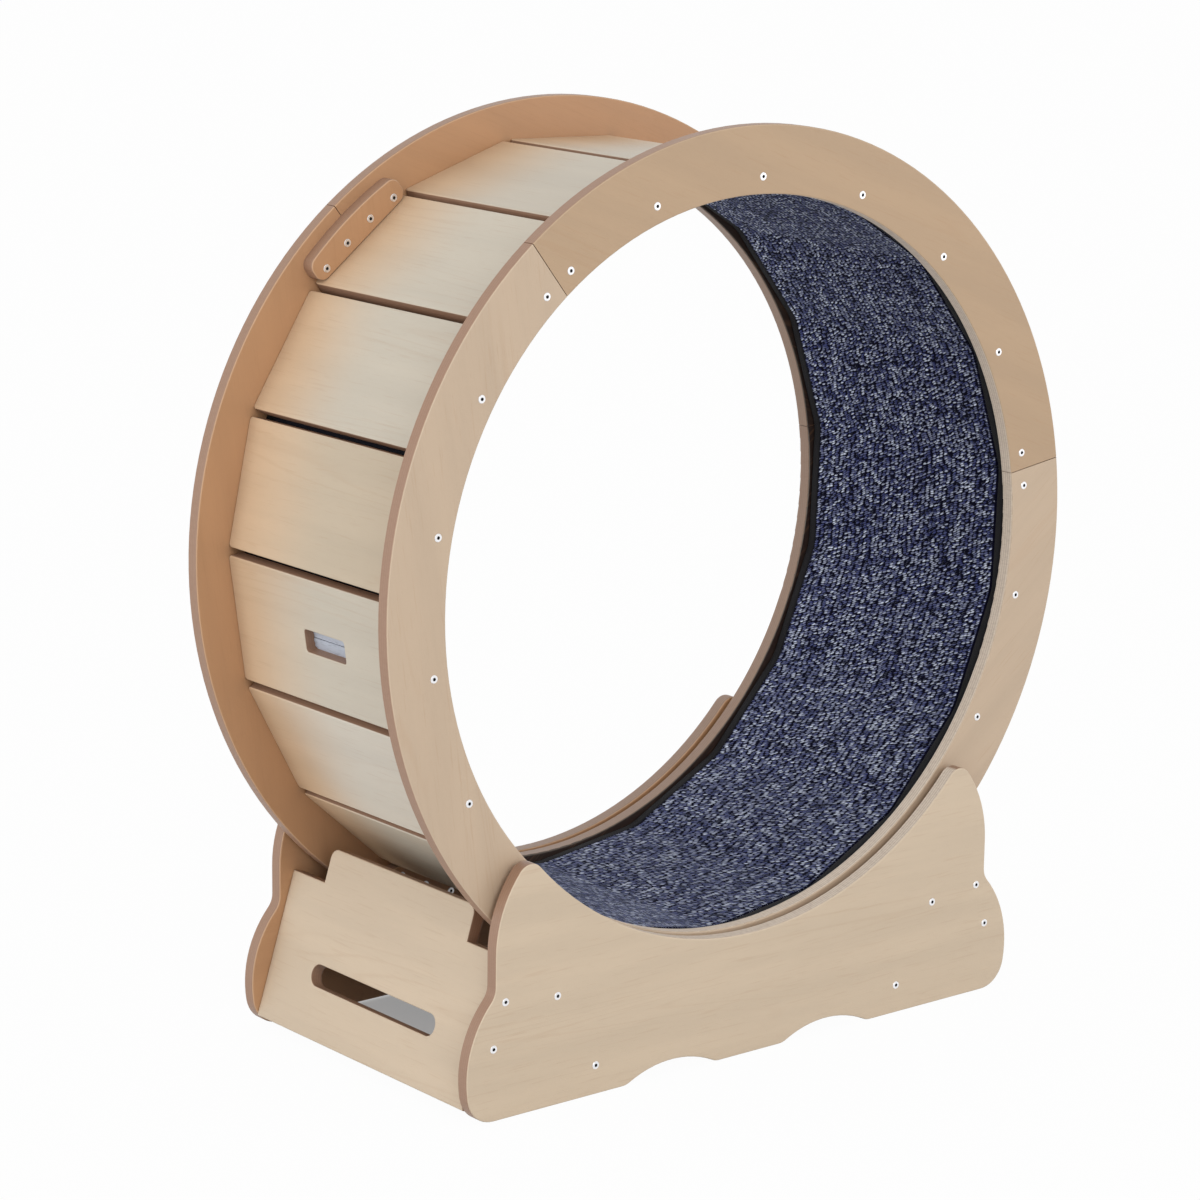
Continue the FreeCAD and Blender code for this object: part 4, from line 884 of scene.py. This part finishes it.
class WHEEL_OT_bindings(bpy.types.Operator):
    """Model the tapes that bind the carpet's two edges"""
    bl_idname = "wheel.bindings"
    bl_label = "Bindings"

    def execute(self, context):
        drum, carpet = context.scene.wheel_drum, context.scene.wheel_carpet
        material = binding_material(context.scene.wheel_colours)
        back = drum.slat_back - LINING_GAP
        face, width = carpet.binding_face, carpet.binding_width
        # from the pile to the ring: share of the width, and how far the tape dips there
        crown = [(0.01, 0.0010), (0.06, 0.0003), (0.30, 0.0), (0.66, 0.0), (0.84, 0.0006), (0.94, 0.0018),
                 (0.98, 0.0045)]
        for name, side in (("near", -1), ("far", 1)):
            inner = side * carpet.pile_width / 2
            profile = [(inner + side * share * width, face + drop) for share, drop in crown]
            start, end = profile[0][0], profile[-1][0]
            profile = [(start, back), *profile, (end, back)]
            piece = drum_loop(f"carpet_binding_tape_{name}", drum, back, carpet.bend, carpet.grid, start)
            close_band(profile)
            cut_butt_joint(piece, drum, carpet.butt_gap)
            finish_piece(piece, material, "wheel", smooth_angle=60)
            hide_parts(f"carpet_binding_{name}")
        return {"FINISHED"}


class WHEEL_OT_studio(bpy.types.Operator):
    """Set up the floor, the lamps and the camera"""
    bl_idname = "wheel.studio"
    bl_label = "Studio"

    def execute(self, context):
        studio = context.scene.wheel_studio
        self.floor(studio)
        self.room(context.scene, studio)
        self.lamp("key", place=(-1.6, -4.6, 2.2), target=(0.0, 0.0, 0.55), size=2.6, power=70)
        self.lamp("left_fill", place=(-4.3, 0.9, 0.9), target=(0.0, 0.0, 0.5), size=2.6, power=50)
        self.lamp("right_fill", place=(3.4, -3.2, 1.4), target=(0.1, 0.0, 0.5), size=2.4, power=22)
        self.camera(context.scene, studio)
        context.scene.view_settings.view_transform = "Standard"
        return {"FINISHED"}

    def floor(self, studio):
        bpy.ops.object.select_all(action="DESELECT")
        bpy.ops.mesh.primitive_plane_add(size=90.0)
        floor = bpy.context.object
        floor.name = "floor"
        material, tree, shader = new_material("studio_floor")
        shader.inputs["Base Color"].default_value = (0.60, 0.60, 0.60, 1.0)
        shader.inputs["Roughness"].default_value = 0.9
        white = add_node(tree, "ShaderNodeEmission", {"Color": (1.0, 1.0, 1.0, 1.0), "Strength": 1.0})
        # under the base the floor shows more of its own shade
        x, y = split(tree, place_of(tree)[0])[:2]
        in_length = ramp(tree, maths(tree, "ABSOLUTE", x), 0.40, 0.36)
        in_breadth = maths(tree, "MULTIPLY", ramp(tree, y, -0.14, -0.09), ramp(tree, y, 0.235, 0.20))
        inside = maths(tree, "MULTIPLY", in_length, in_breadth)
        open_floor = maths(tree, "SUBTRACT", 1.0, maths(tree, "MULTIPLY", inside, studio.under_base))
        white_share = maths(tree, "MULTIPLY", open_floor, studio.floor_white)
        share = maths(tree, "MULTIPLY", self.seen(tree), white_share)
        mixed = add_node(tree, "ShaderNodeMixShader", {0: share, 1: shader.outputs[0], 2: white.outputs[0]})
        tree.links.new(mixed.outputs[0], tree.nodes["Material Output"].inputs["Surface"])
        floor.data.materials.append(material)

    def room(self, scene, studio):
        world = bpy.data.worlds.new("room")
        world.use_nodes = True
        tree = world.node_tree
        sky = tree.nodes["Background"]
        sky.inputs["Color"].default_value = (1.0, 1.0, 1.0, 1.0)
        strength = ramp(tree, self.seen(tree), 0.0, 1.0, smooth=False)
        strength.node.inputs["To Min"].default_value = studio.room_light
        tree.links.new(strength, sky.inputs["Strength"])
        scene.world = world

    def seen(self, tree):
        """1 on rays that come from the camera, a mirror or glass."""
        path = add_node(tree, "ShaderNodeLightPath").outputs
        straight = maths(tree, "ADD", path["Is Camera Ray"], path["Is Glossy Ray"], clamp=True)
        return maths(tree, "ADD", straight, path["Is Transmission Ray"], clamp=True)

    def lamp(self, name, place, target, size, power):
        data = bpy.data.lights.new(name, "AREA")
        data.shape = "DISK"
        data.size = size
        data.energy = power
        lamp = bpy.data.objects.new(name, data)
        bpy.context.scene.collection.objects.link(lamp)
        towards = Vector(target) - Vector(place)
        lamp.matrix_world = Matrix.Translation(place) @ towards.to_track_quat("-Z", "Y").to_matrix().to_4x4()

    def camera(self, scene, studio):
        data = bpy.data.cameras.new("camera")
        data.lens = studio.lens
        data.sensor_width = 36.0
        data.clip_end = 200.0
        camera = bpy.data.objects.new("camera", data)
        scene.collection.objects.link(camera)
        heading = Matrix.Rotation(-studio.heading, 4, "Z")
        tilt = Matrix.Rotation(math.pi / 2 - studio.elevation, 4, "X")
        roll = Matrix.Rotation(studio.roll, 4, "Z")
        camera.matrix_world = Matrix.Translation(studio.eye) @ heading @ tilt @ roll
        scene.camera = camera


OPERATORS = (WHEEL_OT_effects, WHEEL_OT_rings, WHEEL_OT_slats, WHEEL_OT_base, WHEEL_OT_fasteners,
             WHEEL_OT_rollers, WHEEL_OT_carpet, WHEEL_OT_bindings, WHEEL_OT_studio)


class WHEEL_PT_panel(bpy.types.Panel):
    """Lists the wheel's pieces"""
    bl_label = "Cat exercise wheel"
    bl_idname = "WHEEL_PT_panel"
    bl_space_type = "VIEW_3D"
    bl_region_type = "UI"
    bl_category = "Cat wheel"

    def draw(self, context):
        for operator in OPERATORS:
            self.layout.operator(operator.bl_idname)


def register():
    for name, group in SETTINGS.items():
        bpy.utils.register_class(group)
        setattr(bpy.types.Scene, name, bpy.props.PointerProperty(type=group))
    for item in (*OPERATORS, WHEEL_PT_panel):
        bpy.utils.register_class(item)


def unregister():
    for item in (WHEEL_PT_panel, *reversed(OPERATORS)):
        bpy.utils.unregister_class(item)
    for name, group in SETTINGS.items():
        delattr(bpy.types.Scene, name)
        bpy.utils.unregister_class(group)


def main():
    register()
    bpy.ops.wheel.effects()
    bpy.ops.wheel.rings()
    bpy.ops.wheel.slats()
    bpy.ops.wheel.base()
    bpy.ops.wheel.fasteners()
    bpy.ops.wheel.rollers()
    bpy.ops.wheel.carpet()
    bpy.ops.wheel.bindings()
    bpy.ops.wheel.studio()


if __name__ == "__main__":
    main()
